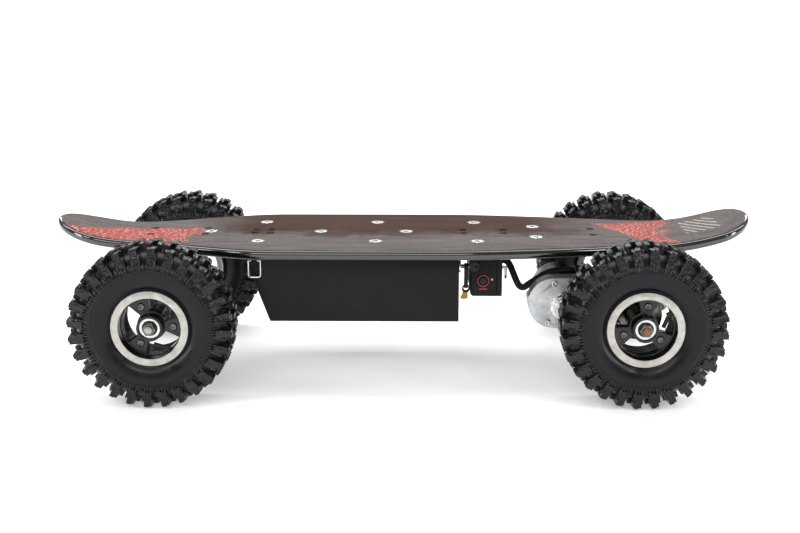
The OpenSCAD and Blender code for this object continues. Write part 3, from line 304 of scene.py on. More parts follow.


# Silicon carbide grit on a printed backing: mauve-grey ground, a rust-brown flare over the far half, a red
# flash at both ends with pale scratches, and pale slanted lines on the tail; painted shade darkens the hollows
# between the grains. Grit 80 is 0.2 mm; it is drawn at 1.1 mm to show.
gripPrint = [
    # name, operation, then numbers or the names of earlier results; lengths are in metres
    ("wobble", "MULTIPLY_ADD", "ragged", 0.16, -0.08),
    ("raggedX", "ADD", "x", "wobble"),
    ("raggedY", "ADD", "y", "wobble"),
    ("flareAcross", "fade", "raggedY", -0.05, 0.01),
    ("flareStart", "fade", "raggedX", -0.36, -0.24),
    ("flareEnd", "fade", "raggedX", 0.36, 0.20),
    ("flareAlong", "MULTIPLY", "flareStart", "flareEnd"),
    ("flare", "MULTIPLY", "flareAcross", "flareAlong"),
    ("slant", "MULTIPLY_ADD", "y", 0.55, "x"),
    ("back", "MULTIPLY_ADD", "raggedY", -1.6, "raggedX"),
    ("noseStart", "fade", "back", -0.485, -0.478),
    ("noseEnd", "fade", "raggedX", -0.33, -0.345),
    ("noseNear", "fade", "y", -0.09, -0.06),
    ("noseFar", "fade", "raggedY", 0.03, 0.012),
    ("tailStart", "fade", "slant", 0.352, 0.36),
    ("tailEnd", "fade", "raggedX", 0.445, 0.43),
    ("tailNear", "fade", "y", -0.10, -0.07),
    ("tailFar", "fade", "raggedY", 0.075, 0.055),
    ("noseA", "MULTIPLY", "noseStart", "noseEnd"),
    ("noseB", "MULTIPLY", "noseNear", "noseFar"),
    ("noseFlash", "MULTIPLY", "noseA", "noseB"),
    ("tailA", "MULTIPLY", "tailStart", "tailEnd"),
    ("tailB", "MULTIPLY", "tailNear", "tailFar"),
    ("tailFlash", "MULTIPLY", "tailA", "tailB"),
    ("flash", "ADD", "noseFlash", "tailFlash"),
    ("scratchWave", "MULTIPLY_ADD", "ragged", 60.0, "slantTurns"),
    ("scratchSine", "SINE", "scratchWave"),
    ("scratchLine", "fade", "scratchSine", 0.72, 0.92),
    ("scratches", "MULTIPLY", "scratchLine", "flash"),
    ("lineTurns", "MULTIPLY", "slant", 2 * math.pi / 0.0135),
    ("lineSine", "SINE", "lineTurns"),
    ("line", "fade", "lineSine", 0.45, 0.75),
    ("lineStart", "fade", "x", 0.462, 0.466),
    ("lineEnd", "fade", "x", 0.520, 0.516),
    ("lineNear", "fade", "y", -0.035, -0.03),
    ("lineFar", "fade", "y", 0.05, 0.045),
    ("lineA", "MULTIPLY", "lineStart", "lineEnd"),
    ("lineB", "MULTIPLY", "lineNear", "lineFar"),
    ("lineWindow", "MULTIPLY", "lineA", "lineB"),
    ("lines", "MULTIPLY", "line", "lineWindow"),
    ("paleLines", "MULTIPLY_ADD", "scratches", 0.8, "lines"),
    # darker where the grit's relief is low: painted shade in the hollows between the grains
    ("speck", "fade", "grit", 0.38, 0.62),
    ("shade", "MULTIPLY_ADD", "speck", -0.85, 0.85),
]


def makeGripTape():
    settings = {"IOR": 1.5, "Specular IOR Level": 0.16}
    material, tree, shader, coords = startMaterial("printedGritTape", settings)
    place = addNode(tree, "SeparateXYZ", links={"Vector": coords.outputs["Object"]})
    ragged = addNode(tree, "TexNoise", {"Scale": 1000 / 70, "Detail": 7.0, "Roughness": 0.7},
                     {"Vector": coords.outputs["Object"]})
    grit = addNode(tree, "TexNoise", {"Scale": 1000 / 1.1, "Detail": 2.0},
                   {"Vector": coords.outputs["Object"]})
    stretch = addNode(tree, "Mapping", {"Scale": (14, 90, 90)}, {"Vector": coords.outputs["Object"]})
    streaks = addNode(tree, "TexNoise", {"Scale": 1.0, "Detail": 5.0}, {"Vector": stretch})
    turns = addNode(tree, "Math", {"operation": "MULTIPLY", 1: 2 * math.pi / 0.011}, {0: place.outputs["X"]})
    made = {"x": place.outputs["X"], "y": place.outputs["Y"], "ragged": ragged, "grit": grit,
            "slantTurns": turns}
    for name, operation, *inputs in gripPrint:
        if operation == "fade":
            kind, settings = "MapRange", {"interpolation_type": "SMOOTHSTEP"}
            places = ["Value", "From Min", "From Max"]
        else:
            kind, settings = "Math", {"operation": operation}
            places = [0, 1, 2]
        links = {place: made[value] for place, value in zip(places, inputs) if isinstance(value, str)}
        settings.update({place: value for place, value in zip(places, inputs) if not isinstance(value, str)})
        made[name] = addNode(tree, kind, settings, links)
    # ground colour in long streaks, then each print colour over it in turn; output 2 is the mixed colour
    ground = addNode(tree, "ValToRGB", {"stops": [(0.3, "#635e5d"), (0.7, "#7d7876")]}, {"Fac": streaks})
    brown = addNode(tree, "ValToRGB", {"stops": [(0.3, "#351e16"), (0.7, "#552f20")]}, {"Fac": streaks})
    flared = addNode(tree, "Mix", {"data_type": "RGBA"}, {0: made["flare"], 6: ground, 7: brown}).outputs[2]
    flashed = addNode(tree, "Mix", {"data_type": "RGBA", 7: hexColour("#bd5347")},
                      {0: made["flash"], 6: flared}).outputs[2]
    lined = addNode(tree, "Mix", {"data_type": "RGBA", 7: hexColour("#cfc9c6")},
                    {0: made["paleLines"], 6: flashed}).outputs[2]
    # the painted shade of the grit's hollows is multiplied into the printed colour
    gritShaded = addNode(tree, "Mix", {"data_type": "RGBA", "blend_type": "MULTIPLY", 7: hexColour("#6f6a68")},
                      {0: made["shade"], 6: lined}).outputs[2]
    rough = addNode(tree, "MapRange", {"To Min": 0.62, "To Max": 0.86}, {"Value": grit})
    bump = addNode(tree, "Bump", {"Strength": 0.8, "Distance": 0.25 * mm}, {"Height": grit})
    joinInputs(tree, shader, {"Base Color": gritShaded, "Roughness": rough, "Normal": bump})
    return material


finishes["printedGritTape"] = makeGripTape()


# Corrugated split sleeve on the motor lead: a rib every 2.2 mm along the piece's own map
def makeLoom():
    material, tree, shader, coords = startMaterial("corrugatedSleeve", {"IOR": 1.5, "Roughness": 0.4})
    split = addNode(tree, "SeparateXYZ", links={"Vector": coords.outputs["UV"]})
    ribs = addNode(tree, "Math", {"operation": "MULTIPLY", 1: 2 * math.pi / 0.0022}, {0: split.outputs["X"]})
    wave = addNode(tree, "Math", {"operation": "SINE"}, {0: ribs})
    dust = addNode(tree, "TexNoise", {"Scale": 1000 / 9, "Detail": 5.0}, {"Vector": coords.outputs["Object"]})
    ramp = addNode(tree, "ValToRGB", {"stops": [(0.35, "#0e0e0f"), (0.75, "#1d1c1b")]}, {"Fac": dust})
    bump = addNode(tree, "Bump", {"Strength": 0.9, "Distance": 0.5 * mm}, {"Height": wave})
    joinInputs(tree, shader, {"Base Color": ramp, "Normal": bump})
    return material


finishes["corrugatedSleeve"] = makeLoom()
print("finishes made:", len(finishes))


def pick(piece):
    bpy.ops.object.select_all(action="DESELECT")
    piece.select_set(True)
    bpy.context.view_layer.objects.active = piece


# selects the vertices, edges or faces of the piece that pass the test, in edit mode
def selectWhere(piece, kind, test):
    bpy.ops.object.mode_set(mode="EDIT")
    bpy.ops.mesh.select_mode(type={"verts": "VERT", "edges": "EDGE", "faces": "FACE"}[kind])
    bpy.ops.mesh.select_all(action="DESELECT")
    bpy.ops.object.mode_set(mode="OBJECT")
    mesh = piece.data
    for item in {"verts": mesh.vertices, "edges": mesh.edges, "faces": mesh.polygons}[kind]:
        item.select = bool(test(item))
    bpy.ops.object.mode_set(mode="EDIT")


def placeInMesh(piece):
    pick(piece)
    bpy.ops.object.transform_apply(location=True, rotation=True, scale=True)


def joinPieces(made):
    bpy.ops.object.select_all(action="DESELECT")
    for piece in made:
        piece.select_set(True)
    bpy.context.view_layer.objects.active = made[0]
    bpy.ops.object.join()
    return bpy.context.object


def closeFaces():  # in edit mode: merges what the last step doubled and turns every face outwards
    bpy.ops.mesh.select_all(action="SELECT")
    bpy.ops.mesh.remove_doubles(threshold=weld)
    bpy.ops.mesh.normals_make_consistent(inside=False)
    bpy.ops.object.mode_set(mode="OBJECT")


def addModifier(piece, kind, **settings):
    pick(piece)
    modifier = piece.modifiers.new(kind.title(), kind)
    for key, value in settings.items():
        setattr(modifier, key, value)
    bpy.ops.object.modifier_apply(modifier=modifier.name)


# round map of a turned piece: u is the turn about the wheel's axle, v the distance from it in metres
def mapRound(piece, centre):
    layer = piece.data.uv_layers.get("round") or piece.data.uv_layers.new(name="round")
    for loop in piece.data.loops:
        p = piece.data.vertices[loop.vertex_index].co - centre
        layer.data[loop.index].uv = (math.atan2(p.z, p.x) / (2 * math.pi), math.hypot(p.x, p.z))


def finishPiece(piece, body, stands, smooth=35, bend=None):
    placeInMesh(piece)
    bpy.ops.object.shade_smooth_by_angle(angle=math.radians(smooth))
    if stands:
        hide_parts(*stands)
    if bend:
        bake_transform(piece)
    else:
        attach(piece, body)
    return piece


bodyOf = {n: b for b, members in frame["record"]["behaviour"]["bodies"].items() for n in members}


# A closer copy of a CAD node: its loose triangles are merged into flat faces and every sharp edge is eased.
# Faces that pass the test get the second finish; cuts first parts the faces at those heights in mm.
def easeNode(nodeName, pieceName, finish, width, segments=2, second=None, test=None, cuts=(), bend=None):
    source = nodes[nodeName]
    piece = bpy.data.objects.new(pieceName, source.data.copy())
    bpy.context.scene.collection.objects.link(piece)
    piece.data.name = pieceName
    pick(piece)
    bpy.ops.object.mode_set(mode="EDIT")
    bpy.ops.mesh.select_all(action="SELECT")
    bpy.ops.mesh.remove_doubles(threshold=weld)
    bpy.ops.mesh.dissolve_limited(angle_limit=math.radians(0.6))
    for height in cuts:
        bpy.ops.mesh.select_all(action="SELECT")
        bpy.ops.mesh.bisect(plane_co=(0, 0, height * mm), plane_no=(0, 0, 1))
    bpy.ops.object.mode_set(mode="OBJECT")
    piece.data.materials.clear()
    piece.data.materials.append(finishes[finish])
    addModifier(piece, "BEVEL", width=width * mm, segments=segments, limit_method="ANGLE",
                angle_limit=math.radians(32), use_clamp_overlap=False, miter_outer="MITER_ARC")
    if second:
        piece.data.materials.append(finishes[second])
        for face in piece.data.polygons:
            corners = [piece.data.vertices[i].co / mm for i in face.vertices]
            face.material_index = 1 if all(test(corner) for corner in corners) else 0
    return finishPiece(piece, bodyOf[nodeName], [nodeName], bend=bend)


# deck in millimetres: taper and kick give where each starts, then where it ends or its radius
deckSize = {"halfLength": 567, "width": 280, "noseWidth": 142, "tailWidth": 166, "noseTaper": (-200, -470),
            "tailTaper": (60, 540), "noseRound": 92, "tailRound": 60, "noseKick": (-425, 370),
            "tailKick": (400, 400), "tipPower": 2.2, "tipSteps": 20, "middleSteps": 40, "kickCut": 7,
            "kickEnd": 168, "top": 228, "thick": 15, "edgeRound": 6.2, "tapeThick": 1.0, "tapeInset": 6,
            "tapeSink": 0.2, "tapeEase": 0.35}


def deckRise(x):
    rise = 0
    for reach, radius in ((deckSize["noseKick"][0] - x, deckSize["noseKick"][1]),
                          (x - deckSize["tailKick"][0], deckSize["tailKick"][1])):
        if reach > 0:
            rise += radius - math.sqrt(radius * radius - reach * reach)
    return rise


def deckHalf(x, inset):  # half width of the outline: a smooth taper, then a rounded tip
    start, end = deckSize["noseTaper"] if x < 0 else deckSize["tailTaper"]
    tip = deckSize["noseWidth"] if x < 0 else deckSize["tailWidth"]
    t = min(1, max(0, (x - start) / (end - start)))
    half = deckSize["width"] / 2 - (deckSize["width"] - tip) / 2 * t * t * (3 - 2 * t) - inset
    reach = deckSize["halfLength"] - inset - abs(x)
    length = (deckSize["noseRound"] if x < 0 else deckSize["tailRound"]) - inset
    if reach >= length:
        return half
    power = deckSize["tipPower"]
    return half * max(0, 1 - (1 - max(0, reach) / length) ** power) ** (1 / power)


def deckStations(inset):
    half = deckSize["halfLength"] - inset
    nose, tail = deckSize["noseRound"], deckSize["tailRound"]
    tip, middle = deckSize["tipSteps"], deckSize["middleSteps"]
    return ([-half + nose * (i / tip) ** 2 for i in range(tip)]
            + [-half + nose + (2 * half - nose - tail) * i / middle for i in range(middle + 1)]
            + [half - tail * (i / tip) ** 2 for i in range(tip - 1, -1, -1)])


# flat plank of the deck's outline, thickened, its rims eased, then cut across and lifted at both ends
def makePlank(name, inset, low, high, ease, easeLow):
    stations = deckStations(inset)
    loop = [(x, -deckHalf(x, inset)) for x in stations] + [(x, deckHalf(x, inset)) for x in stations[-2:0:-1]]
    bpy.ops.object.select_all(action="DESELECT")
    bpy.ops.mesh.primitive_circle_add(vertices=len(loop), radius=1, fill_type="NGON", location=(0, 0, 0))
    plank = bpy.context.object
    plank.name = plank.data.name = name
    for vertex, (x, y) in zip(plank.data.vertices, loop):
        vertex.co = (x * mm, y * mm, low * mm)
    bpy.ops.object.mode_set(mode="EDIT")
    bpy.ops.mesh.select_all(action="SELECT")
    bpy.ops.mesh.normals_make_consistent(inside=False)
    bpy.ops.mesh.extrude_region_move(TRANSFORM_OT_translate={"value": (0, 0, (high - low) * mm)})
    closeFaces()

    def rim(edge):
        a, b = (plank.data.vertices[i].co for i in edge.vertices)
        level = abs(a.z - b.z) < weld
        return level and (a.z > (low + high) / 2 * mm or easeLow)

    selectWhere(plank, "edges", rim)
    bpy.ops.mesh.bevel(offset=ease * mm, segments=6 if easeLow else 2, profile=0.5, clamp_overlap=True)
    for reach in range(0, deckSize["kickEnd"], deckSize["kickCut"]):
        for x in (deckSize["noseKick"][0] - reach, deckSize["tailKick"][0] + reach):
            bpy.ops.mesh.select_all(action="SELECT")
            bpy.ops.mesh.bisect(plane_co=(x * mm, 0, 0), plane_no=(1, 0, 0))
    bpy.ops.object.mode_set(mode="OBJECT")
    for vertex in plank.data.vertices:
        vertex.co.z += deckRise(vertex.co.x / mm) * mm
    return plank


deckPlank = makePlank("deckPlank", 0, deckSize["top"] - deckSize["thick"], deckSize["top"],
                      deckSize["edgeRound"], True)
deckPlank.data.materials.append(finishes["blackLacquer"])
finishPiece(deckPlank, "deck_assembly", ["deck"], 40)
gripSheet = makePlank("gripSheet", deckSize["tapeInset"], deckSize["top"] - deckSize["tapeSink"],
                      deckSize["top"] + deckSize["tapeThick"], deckSize["tapeEase"], False)
gripSheet.data.materials.append(finishes["printedGritTape"])
finishPiece(gripSheet, "deck_assembly", ["grip_tape"], 40)
print("deck and grip tape made")


tyreSize = {"pitches": 28, "lugCircle": 124, "rounds": 140, "lugEase": 0.6, "dish": (1.2, -0.9),
            "dishAbove": 120, "trim": 0.5, "trimAcross": 0.992,
            # outer wall from the crown to the bead, radius and distance from the middle
            "wall": [(117.5, 0), (117.2, 8), (116.2, 15), (114.2, 21), (111, 27), (107, 32), (102.5, 36.2),
                     (97.5, 39.2), (92.5, 40.6), (91, 40.8), (90.5, 41.2), (89.5, 41.2), (89, 40.7),
                     (83, 40.7), (76, 39.8), (70, 37.9), (66, 35.7), (63.2, 33.4), (61.4, 32.2),
                     (59.4, 32.2), (55, 32.6), (50.85, 32.9), (50.85, 27.2)],
            "inside": [(63, 31), (76, 34.6), (88, 35.6), (98, 33), (105, 26), (108.6, 15), (109.5, 0)]}


# one pitch of the tread, each block by its lowest and highest radius, where it starts and ends across the
# tyre, its length round the tyre, its place round it, its lean, and how much of its width and length its top
# keeps
treadBlocks = [
    (112, 128.2, -13.5, 13.5, 10.6, -5.9, 0, 0.9, 0.72),
    (112, 127.4, -12.0, 12.5, 9.6, 5.8, 0, 0.9, 0.7),
]
for side in (-1, 1):
    treadBlocks += [
        (101, 126.1, side * 16.5, side * 41.0, 10.4, 8.7, side * 5, 0.74, 0.7),
        (102, 124.8, side * 18.5, side * 40.6, 9.6, 20.2, side * -6, 0.7, 0.66),
        (98, 117.0, side * 33.0, side * 41.1, 4.6, 2.6, side * 4, 0.8, 0.6),
        (92.5, 108, side * 36.0, side * 41.1, 3.2, 8.0, 0, 0.8, 0.6),
        (92.5, 106, side * 36.0, side * 41.1, 2.6, 13.6, 0, 0.8, 0.6),
        (92.5, 108, side * 36.0, side * 41.1, 3.0, 19.2, 0, 0.8, 0.6),
        (94, 104, side * 36.5, side * 41.1, 2.2, 25.0, 0, 0.8, 0.6),
    ]


def makeLugs():
    made = []
    for low, high, start, end, length, place, lean, across, along in treadBlocks:
        middle = ((low + high) / 2 * mm, (start + end) / 2 * mm, 0)
        size = ((high - low) * mm, abs(end - start) * mm, length * mm)
        bpy.ops.object.select_all(action="DESELECT")
        bpy.ops.mesh.primitive_cube_add(size=1, location=middle, scale=size)
        block = bpy.context.object
        placeInMesh(block)
        selectWhere(block, "faces", lambda f: f.normal.x > 0.9)
        bpy.ops.transform.resize(value=(1, across, along))
        if high > tyreSize["dishAbove"]:
            edge, depth = tyreSize["dish"]
            bpy.ops.mesh.inset(thickness=edge * mm, depth=depth * mm)
        bpy.ops.object.mode_set(mode="OBJECT")
        addModifier(block, "BEVEL", width=tyreSize["lugEase"] * mm, segments=1, limit_method="ANGLE",
                    angle_limit=math.radians(40))
        block.rotation_euler = (math.radians(lean), 0, 0)
        placeInMesh(block)
        block.rotation_euler = (0, -place / tyreSize["lugCircle"], 0)
        placeInMesh(block)
        made.append(block)
    return joinPieces(made)


# vent hairs of rubber left by the mould, on the lugs away from the ground
hairs = {"count": 130, "thick": 0.45, "tip": 0.1, "length": (2.5, 5.0), "low": -50, "high": 230,
         "root": (115, 124.5), "across": (20, 37)}


def makeHairs():
    bpy.ops.object.select_all(action="DESELECT")
    made = []
    for _ in range(hairs["count"]):
        bpy.ops.mesh.primitive_cone_add(vertices=3, radius1=hairs["thick"] * mm, radius2=hairs["tip"] * mm,
                                        depth=random.uniform(*hairs["length"]) * mm, end_fill_type="NGON",
                                        location=(0, 0, 0))
        hair = bpy.context.object
        side = random.choice((-1, 1))
        turn = math.radians(random.uniform(hairs["low"], hairs["high"]))
        out = random.uniform(*hairs["root"]) * mm
        hair.rotation_euler = (0, math.pi / 2 - turn, 0)
        hair.rotation_euler.rotate_axis("X", -side * random.uniform(0.1, 1.0))
        across = side * random.uniform(*hairs["across"]) * mm
        hair.location = (out * math.cos(turn), across, out * math.sin(turn))
        placeInMesh(hair)
        made.append(hair)
    return joinPieces(made)


def makeTyre():
    half = tyreSize["wall"] + tyreSize["inside"]
    section = half + [(r, -t) for r, t in half[-2:0:-1]]
    bpy.ops.object.select_all(action="DESELECT")
    bpy.ops.mesh.primitive_circle_add(vertices=len(section), radius=1, location=(0, 0, 0))
    carcass = bpy.context.object
    for vertex, (r, t) in zip(carcass.data.vertices, section):
        vertex.co = (r * mm, t * mm, 0)
    bpy.ops.object.mode_set(mode="EDIT")
    bpy.ops.mesh.select_all(action="SELECT")
    bpy.ops.mesh.spin(steps=tyreSize["rounds"], angle=2 * math.pi, center=(0, 0, 0), axis=(0, 1, 0))
    closeFaces()
    lugs = makeLugs()
    pick(lugs)
    bpy.ops.object.mode_set(mode="EDIT")
    bpy.ops.mesh.select_all(action="SELECT")
    turns = tyreSize["pitches"]
    bpy.ops.mesh.spin(steps=turns - 1, dupli=True, angle=2 * math.pi * (turns - 1) / turns, center=(0, 0, 0),
                      axis=(0, 1, 0))
    bpy.ops.object.mode_set(mode="OBJECT")
    firstPlace = treadBlocks[0][5]  # this centre block turns down to stand square on the ground
    lugs.rotation_euler = (0, math.pi / 2 + firstPlace / tyreSize["lugCircle"], 0)
    placeInMesh(lugs)
    for vertex in lugs.data.vertices:  # hand-trimmed corners: each is a little short of its place
        reach = math.hypot(vertex.co.x, vertex.co.z)
        shrink = 1 - random.uniform(0, tyreSize["trim"] * mm) / reach
        across = random.uniform(tyreSize["trimAcross"], 1)
        vertex.co = (vertex.co.x * shrink, vertex.co.y * across, vertex.co.z * shrink)
    return joinPieces([carcass, lugs, makeHairs()])


tyreMaster = makeTyre()
tyreMaster.data.materials.append(finishes["vulcanisedRubber"])
mapRound(tyreMaster, Vector((0, 0, 0)))
for name in wheels:
    pick(tyreMaster)
    bpy.ops.object.duplicate()
    tyre = bpy.context.object
    tyre.name = tyre.data.name = name.replace("_", "") + "KnobbyTyre"
    tyre.location = hinges[name + "_spin"]
    finishPiece(tyre, name + "_wheel", [name + "_tyre"], 38)
bpy.data.objects.remove(tyreMaster)
print("tyres made")


# the facing cut on the rim starts this far from the axle and from the wheel's middle; the bearing's rubber seal
# lies between two radii
rimSize = {"lipFrom": 47, "lipOut": 32.4, "seal": (8.3, 12.1)}
for name, side in wheels.items():
    centre = hinges[name + "_spin"].copy()
    short = name.replace("_", "")

    def offAxle(corner):
        away = corner - centre / mm
        return math.hypot(away.x, away.z), side * away.y

    def onLip(corner):  # the facing cut over the lip, both sides of its edge
        r, out = offAxle(corner)
        return r > rimSize["lipFrom"] and abs(out) > rimSize["lipOut"]

    def onSeal(corner):
        return rimSize["seal"][0] < offAxle(corner)[0] < rimSize["seal"][1]

    outer = easeNode(name + "_rim_outer", short + "RimOuter", "blackEnamel", 0.8, 3, "facedLip", onLip)
    mapRound(outer, centre)
    inner = easeNode(name + "_rim_inner", short + "RimInner", "blackEnamel", 0.8, 2, "facedLip", onLip)
    mapRound(inner, centre)
    bearing = easeNode(name + "_bearings", short + "Bearings", "groundRing", 0.25, 1, "mouldedRubber", onSeal)
    mapRound(bearing, centre)
    easeNode(name + "_tube", short + "Tube", "mouldedRubber", 0.3, 1)
    easeNode(name + "_rim_bolts", short + "RimBolts", "dullZinc", 0.4, 2)
print("rims made")


easeNode("star_inserts", "starFlanges", "brightZinc", 0.35, 2)
easeNode("countersunk_bolts", "deckBolts", "blackOxide", 0.2, 1)
easeNode("battery_box", "batteryBox", "blackPowderCoat", 1.6, 3)
easeNode("control_box", "controlBox", "warmPowderCoat", 1.0, 3)
easeNode("control_end_panel", "controlEndPanel", "warmPowderCoat", 0.9, 3)
easeNode("power_button", "powerButton", "mouldedAbs", 0.7, 3)
easeNode("receiver_aerial", "receiverAerial", "paleSleeve", 0.3, 2, "mouldedRubber", lambda p: p.z < 173.5)
easeNode("key_lock", "keyLock", "chromedBarrel", 0.5, 2)
easeNode("ignition_key", "ignitionKey", "stampedBrass", 0.4, 2, "mouldedAbs", lambda p: p.x > 107)
easeNode("spare_keys", "spareKeys", "stampedBrass", 0.25, 2, "mouldedAbs", lambda p: p.z > 149.4, (149.5,))
for name in ("front_channel", "rear_channel"):
    easeNode(name, name.replace("_channel", "TruckChannel"), "truckCoat", 1.2, 2)
easeNode("king_bolts", "kingBolts", "brightZinc", 0.6, 2)
for end in ("front", "rear"):  # rubber blocks: cut into eight layers across their height, and not attached to a body
    low, high = (corner[2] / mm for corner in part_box(end + "_elastomers"))
    easeNode(end + "_elastomers", end + "RubberBlocks", "urethane", 1.2, 3,
             cuts=[low + (high - low) * i / 8 for i in range(1, 8)],
             bend=("deck_assembly", end + "_truck", (0, 0, high * mm), (0, 0, low * mm)))
for name in ("front_hanger", "rear_hanger"):
    easeNode(name, name.replace("_hanger", "TruckHanger"), "blastedCasting", 1.4, 2)
easeNode("front_axle", "frontAxleBar", "turnedSteel", 0.6, 2)
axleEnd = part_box("rear_axle")[0][1] / mm + 2  # the last 2 mm of its left end are worn
easeNode("rear_axle", "rearAxleBar", "turnedSteel", 0.6, 2, "wornThread", lambda p: p.y < axleEnd)
for name in ("front_axle_nuts", "rear_axle_nuts"):
    easeNode(name, name.replace("_axle_nuts", "AxleNuts"), "dullZinc", 0.5, 2)
easeNode("motor_can", "motorCan", "blackEnamel", 1.2, 3)
easeNode("gear_housing", "gearHousing", "dieCastAluminium", 1.2, 3)
motorAxle = hinges["rotor_spin"] / mm
bossSize = {"radius": 22.5, "stands": 6}
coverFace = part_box("gear_cover")[0][1] / mm + bossSize["stands"]
easeNode("gear_cover", "gearCover", "dieCastAluminium", 1.0, 3, "skimmedBoss",
         lambda p: math.hypot(p.x - motorAxle.x, p.z - motorAxle.z) < bossSize["radius"] and p.y < coverFace)
easeNode("gear_screws", "gearScrews", "brightZinc", 0.4, 2)
easeNode("output_gear", "outputGear", "oiledGearSteel", 0.3, 1)

# nodes whose own shape is right get their finish on their slots
plainFinishes = {"batteries": "batteryCase", "key_loop": "wovenStrap", "wire_bail": "brightWire",
                 "controller_board": "solderResist", "motor_rotor": "varnishedIron",
                 "idler_pin": "turnedSteel", "idler_gear": "oiledGearSteel"}
for name, finish in plainFinishes.items():
    node = nodes[name]
    node.data.materials.clear()
    node.data.materials.append(finishes[finish])
print("boxes, trucks and drive finished")

# print round the power button, a short bar under it, and a small lamp beside it
panelPrint = {"out": 9.6, "in": 8.6, "stands": 0.12, "barDrop": 14, "barSize": (13, 1.6), "barEase": 0.08,
              "lampAcross": 14, "lampRaise": 2, "lamp": 1.8, "lampWall": 0.4}
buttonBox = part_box("power_button")
buttonPlace = [(buttonBox[0][i] + buttonBox[1][i]) / 2 for i in range(3)]
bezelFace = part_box("control_box")[0][1]
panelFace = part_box("control_end_panel")[0][1]


def turnToFront(piece):  # a shape made flat on the ground turns up to face the rider's left
    pick(piece)
    piece.rotation_euler = (math.pi / 2, 0, 0)


bpy.ops.object.select_all(action="DESELECT")
bpy.ops.mesh.primitive_torus_add(major_segments=64, minor_segments=10,
                                 location=(buttonPlace[0], bezelFace, buttonPlace[2]),
                                 major_radius=(panelPrint["out"] + panelPrint["in"]) / 2 * mm,
                                 minor_radius=(panelPrint["out"] - panelPrint["in"]) / 2 * mm)
switchRing = bpy.context.object
switchRing.name = switchRing.data.name = "switchRing"
turnToFront(switchRing)
switchRing.scale = (1, 1, 2 * panelPrint["stands"] / (panelPrint["out"] - panelPrint["in"]))
switchRing.data.materials.append(finishes["redRing"])
finishPiece(switchRing, "deck_assembly", [])

bpy.ops.object.select_all(action="DESELECT")
bpy.ops.mesh.primitive_plane_add(size=1, location=(buttonPlace[0], panelFace - panelPrint["stands"] * mm,
                                                   buttonPlace[2] - panelPrint["barDrop"] * mm))
switchBar = bpy.context.object
switchBar.name = switchBar.data.name = "switchBar"
turnToFront(switchBar)
switchBar.scale = (panelPrint["barSize"][0] * mm, panelPrint["barSize"][1] * mm, 1)
placeInMesh(switchBar)
bpy.ops.object.mode_set(mode="EDIT")
bpy.ops.mesh.select_all(action="SELECT")
bpy.ops.mesh.extrude_region_move(TRANSFORM_OT_translate={"value": (0, 2 * panelPrint["stands"] * mm, 0)})
closeFaces()
addModifier(switchBar, "BEVEL", width=panelPrint["barEase"] * mm, segments=2)
switchBar.data.materials.append(finishes["redRing"])
finishPiece(switchBar, "deck_assembly", [])

bpy.ops.object.select_all(action="DESELECT")
lampPlace = (buttonPlace[0] + panelPrint["lampAcross"] * mm, panelFace,
             buttonPlace[2] + panelPrint["lampRaise"] * mm)
bpy.ops.mesh.primitive_uv_sphere_add(segments=32, ring_count=16, radius=panelPrint["lamp"] * mm,
                                     location=lampPlace)
powerLamp = bpy.context.object
powerLamp.name = powerLamp.data.name = "powerLamp"
placeInMesh(powerLamp)
lampWall = panelPrint["lampWall"] * mm
selectWhere(powerLamp, "faces", lambda f: f.center.y > panelFace + lampWall)  # its back is inside the panel
bpy.ops.mesh.delete(type="FACE")
bpy.ops.object.mode_set(mode="OBJECT")
addModifier(powerLamp, "SOLIDIFY", thickness=lampWall)
powerLamp.data.materials.append(finishes["lampLens"])
finishPiece(powerLamp, "deck_assembly", [])
print("switch print made")


leadSize = {"radius": 5.5, "steps": 8,
            "route": [(162.5, -60, 196), (170, -60, 194), (176, -60, 186), (181, -60, 174), (186, -60, 162),
                      (191, -60, 153), (198, -59.5, 150), (206, -56, 154), (215, -55, 160), (225, -53, 166),
                      (236, -50, 171), (248, -47, 174), (262, -45, 175), (281.75, -45, 175)]}


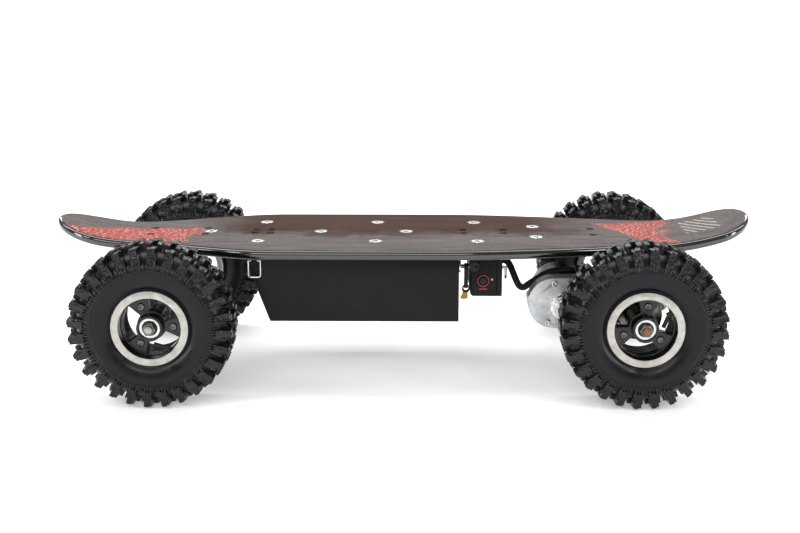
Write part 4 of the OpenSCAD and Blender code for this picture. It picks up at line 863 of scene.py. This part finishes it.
def smoothRoute(points, steps):  # a curve that passes through every point, in metres
    route = []
    for i in range(len(points) - 1):
        around = zip(points[max(0, i - 1)], points[i], points[i + 1], points[min(len(points) - 1, i + 2)])
        terms = [(2 * b, c - a, 2 * a - 5 * b + 4 * c - d, 3 * b - a - 3 * c + d) for a, b, c, d in around]
        for k in range(steps):
            t = k / steps
            route.append(tuple(0.5 * (p + q * t + r * t * t + s * t ** 3) * mm for p, q, r, s in terms))
    return route + [tuple(v * mm for v in points[-1])]


def makeLead():
    route = smoothRoute(leadSize["route"], leadSize["steps"])
    curve = bpy.data.curves.new("motorLead", "CURVE")
    curve.dimensions = "3D"
    curve.bevel_depth = leadSize["radius"] * mm
    curve.bevel_resolution = 5
    curve.use_fill_caps = True
    spline = curve.splines.new("POLY")
    spline.points.add(len(route) - 1)
    for point, place in zip(spline.points, route):
        point.co = (*place, 1)
    lead = bpy.data.objects.new("motorLead", curve)
    bpy.context.scene.collection.objects.link(lead)
    pick(lead)
    bpy.ops.object.convert(target="MESH")
    lead = bpy.context.object
    layer = lead.data.uv_layers.new(name="along")
    lengths = [0]
    for a, b in zip(route, route[1:]):
        lengths.append(lengths[-1] + (Vector(b) - Vector(a)).length)
    for loop in lead.data.loops:
        p = lead.data.vertices[loop.vertex_index].co
        nearest = min(range(len(route)), key=lambda i: (Vector(route[i]) - p).length_squared)
        layer.data[loop.index].uv = (lengths[nearest], 0)
    lead.data.materials.clear()
    lead.data.materials.append(finishes["corrugatedSleeve"])
    bpy.ops.object.shade_smooth_by_angle(angle=math.radians(40))
    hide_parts("motor_lead")
    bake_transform(lead)


makeLead()
print("motor lead made")

# pale floor paint, lifted a little with distance so that the studio fades to white
bpy.ops.object.select_all(action="DESELECT")
bpy.ops.mesh.primitive_plane_add(size=60, location=(0, 0, 0))
floor = bpy.context.object
floor.name = "paleFloor"
floorSettings = {"Roughness": 0.9, "Base Color": hexColour("#f6f6f6"), "Emission Color": hexColour("#ffffff")}
floorFinish, floorTree, floorShader, floorCoords = startMaterial("paleFloorPaint", floorSettings)
reach = addNode(floorTree, "VectorMath", {"operation": "LENGTH"}, {0: floorCoords.outputs["Object"]})
lift = addNode(floorTree, "MapRange", {"From Min": 0.6, "From Max": 3.5, "To Min": 0.25, "To Max": 0.9},
               {"Value": reach.outputs["Value"]})
joinInputs(floorTree, floorShader, {"Emission Strength": lift})
floor.data.materials.append(floorFinish)
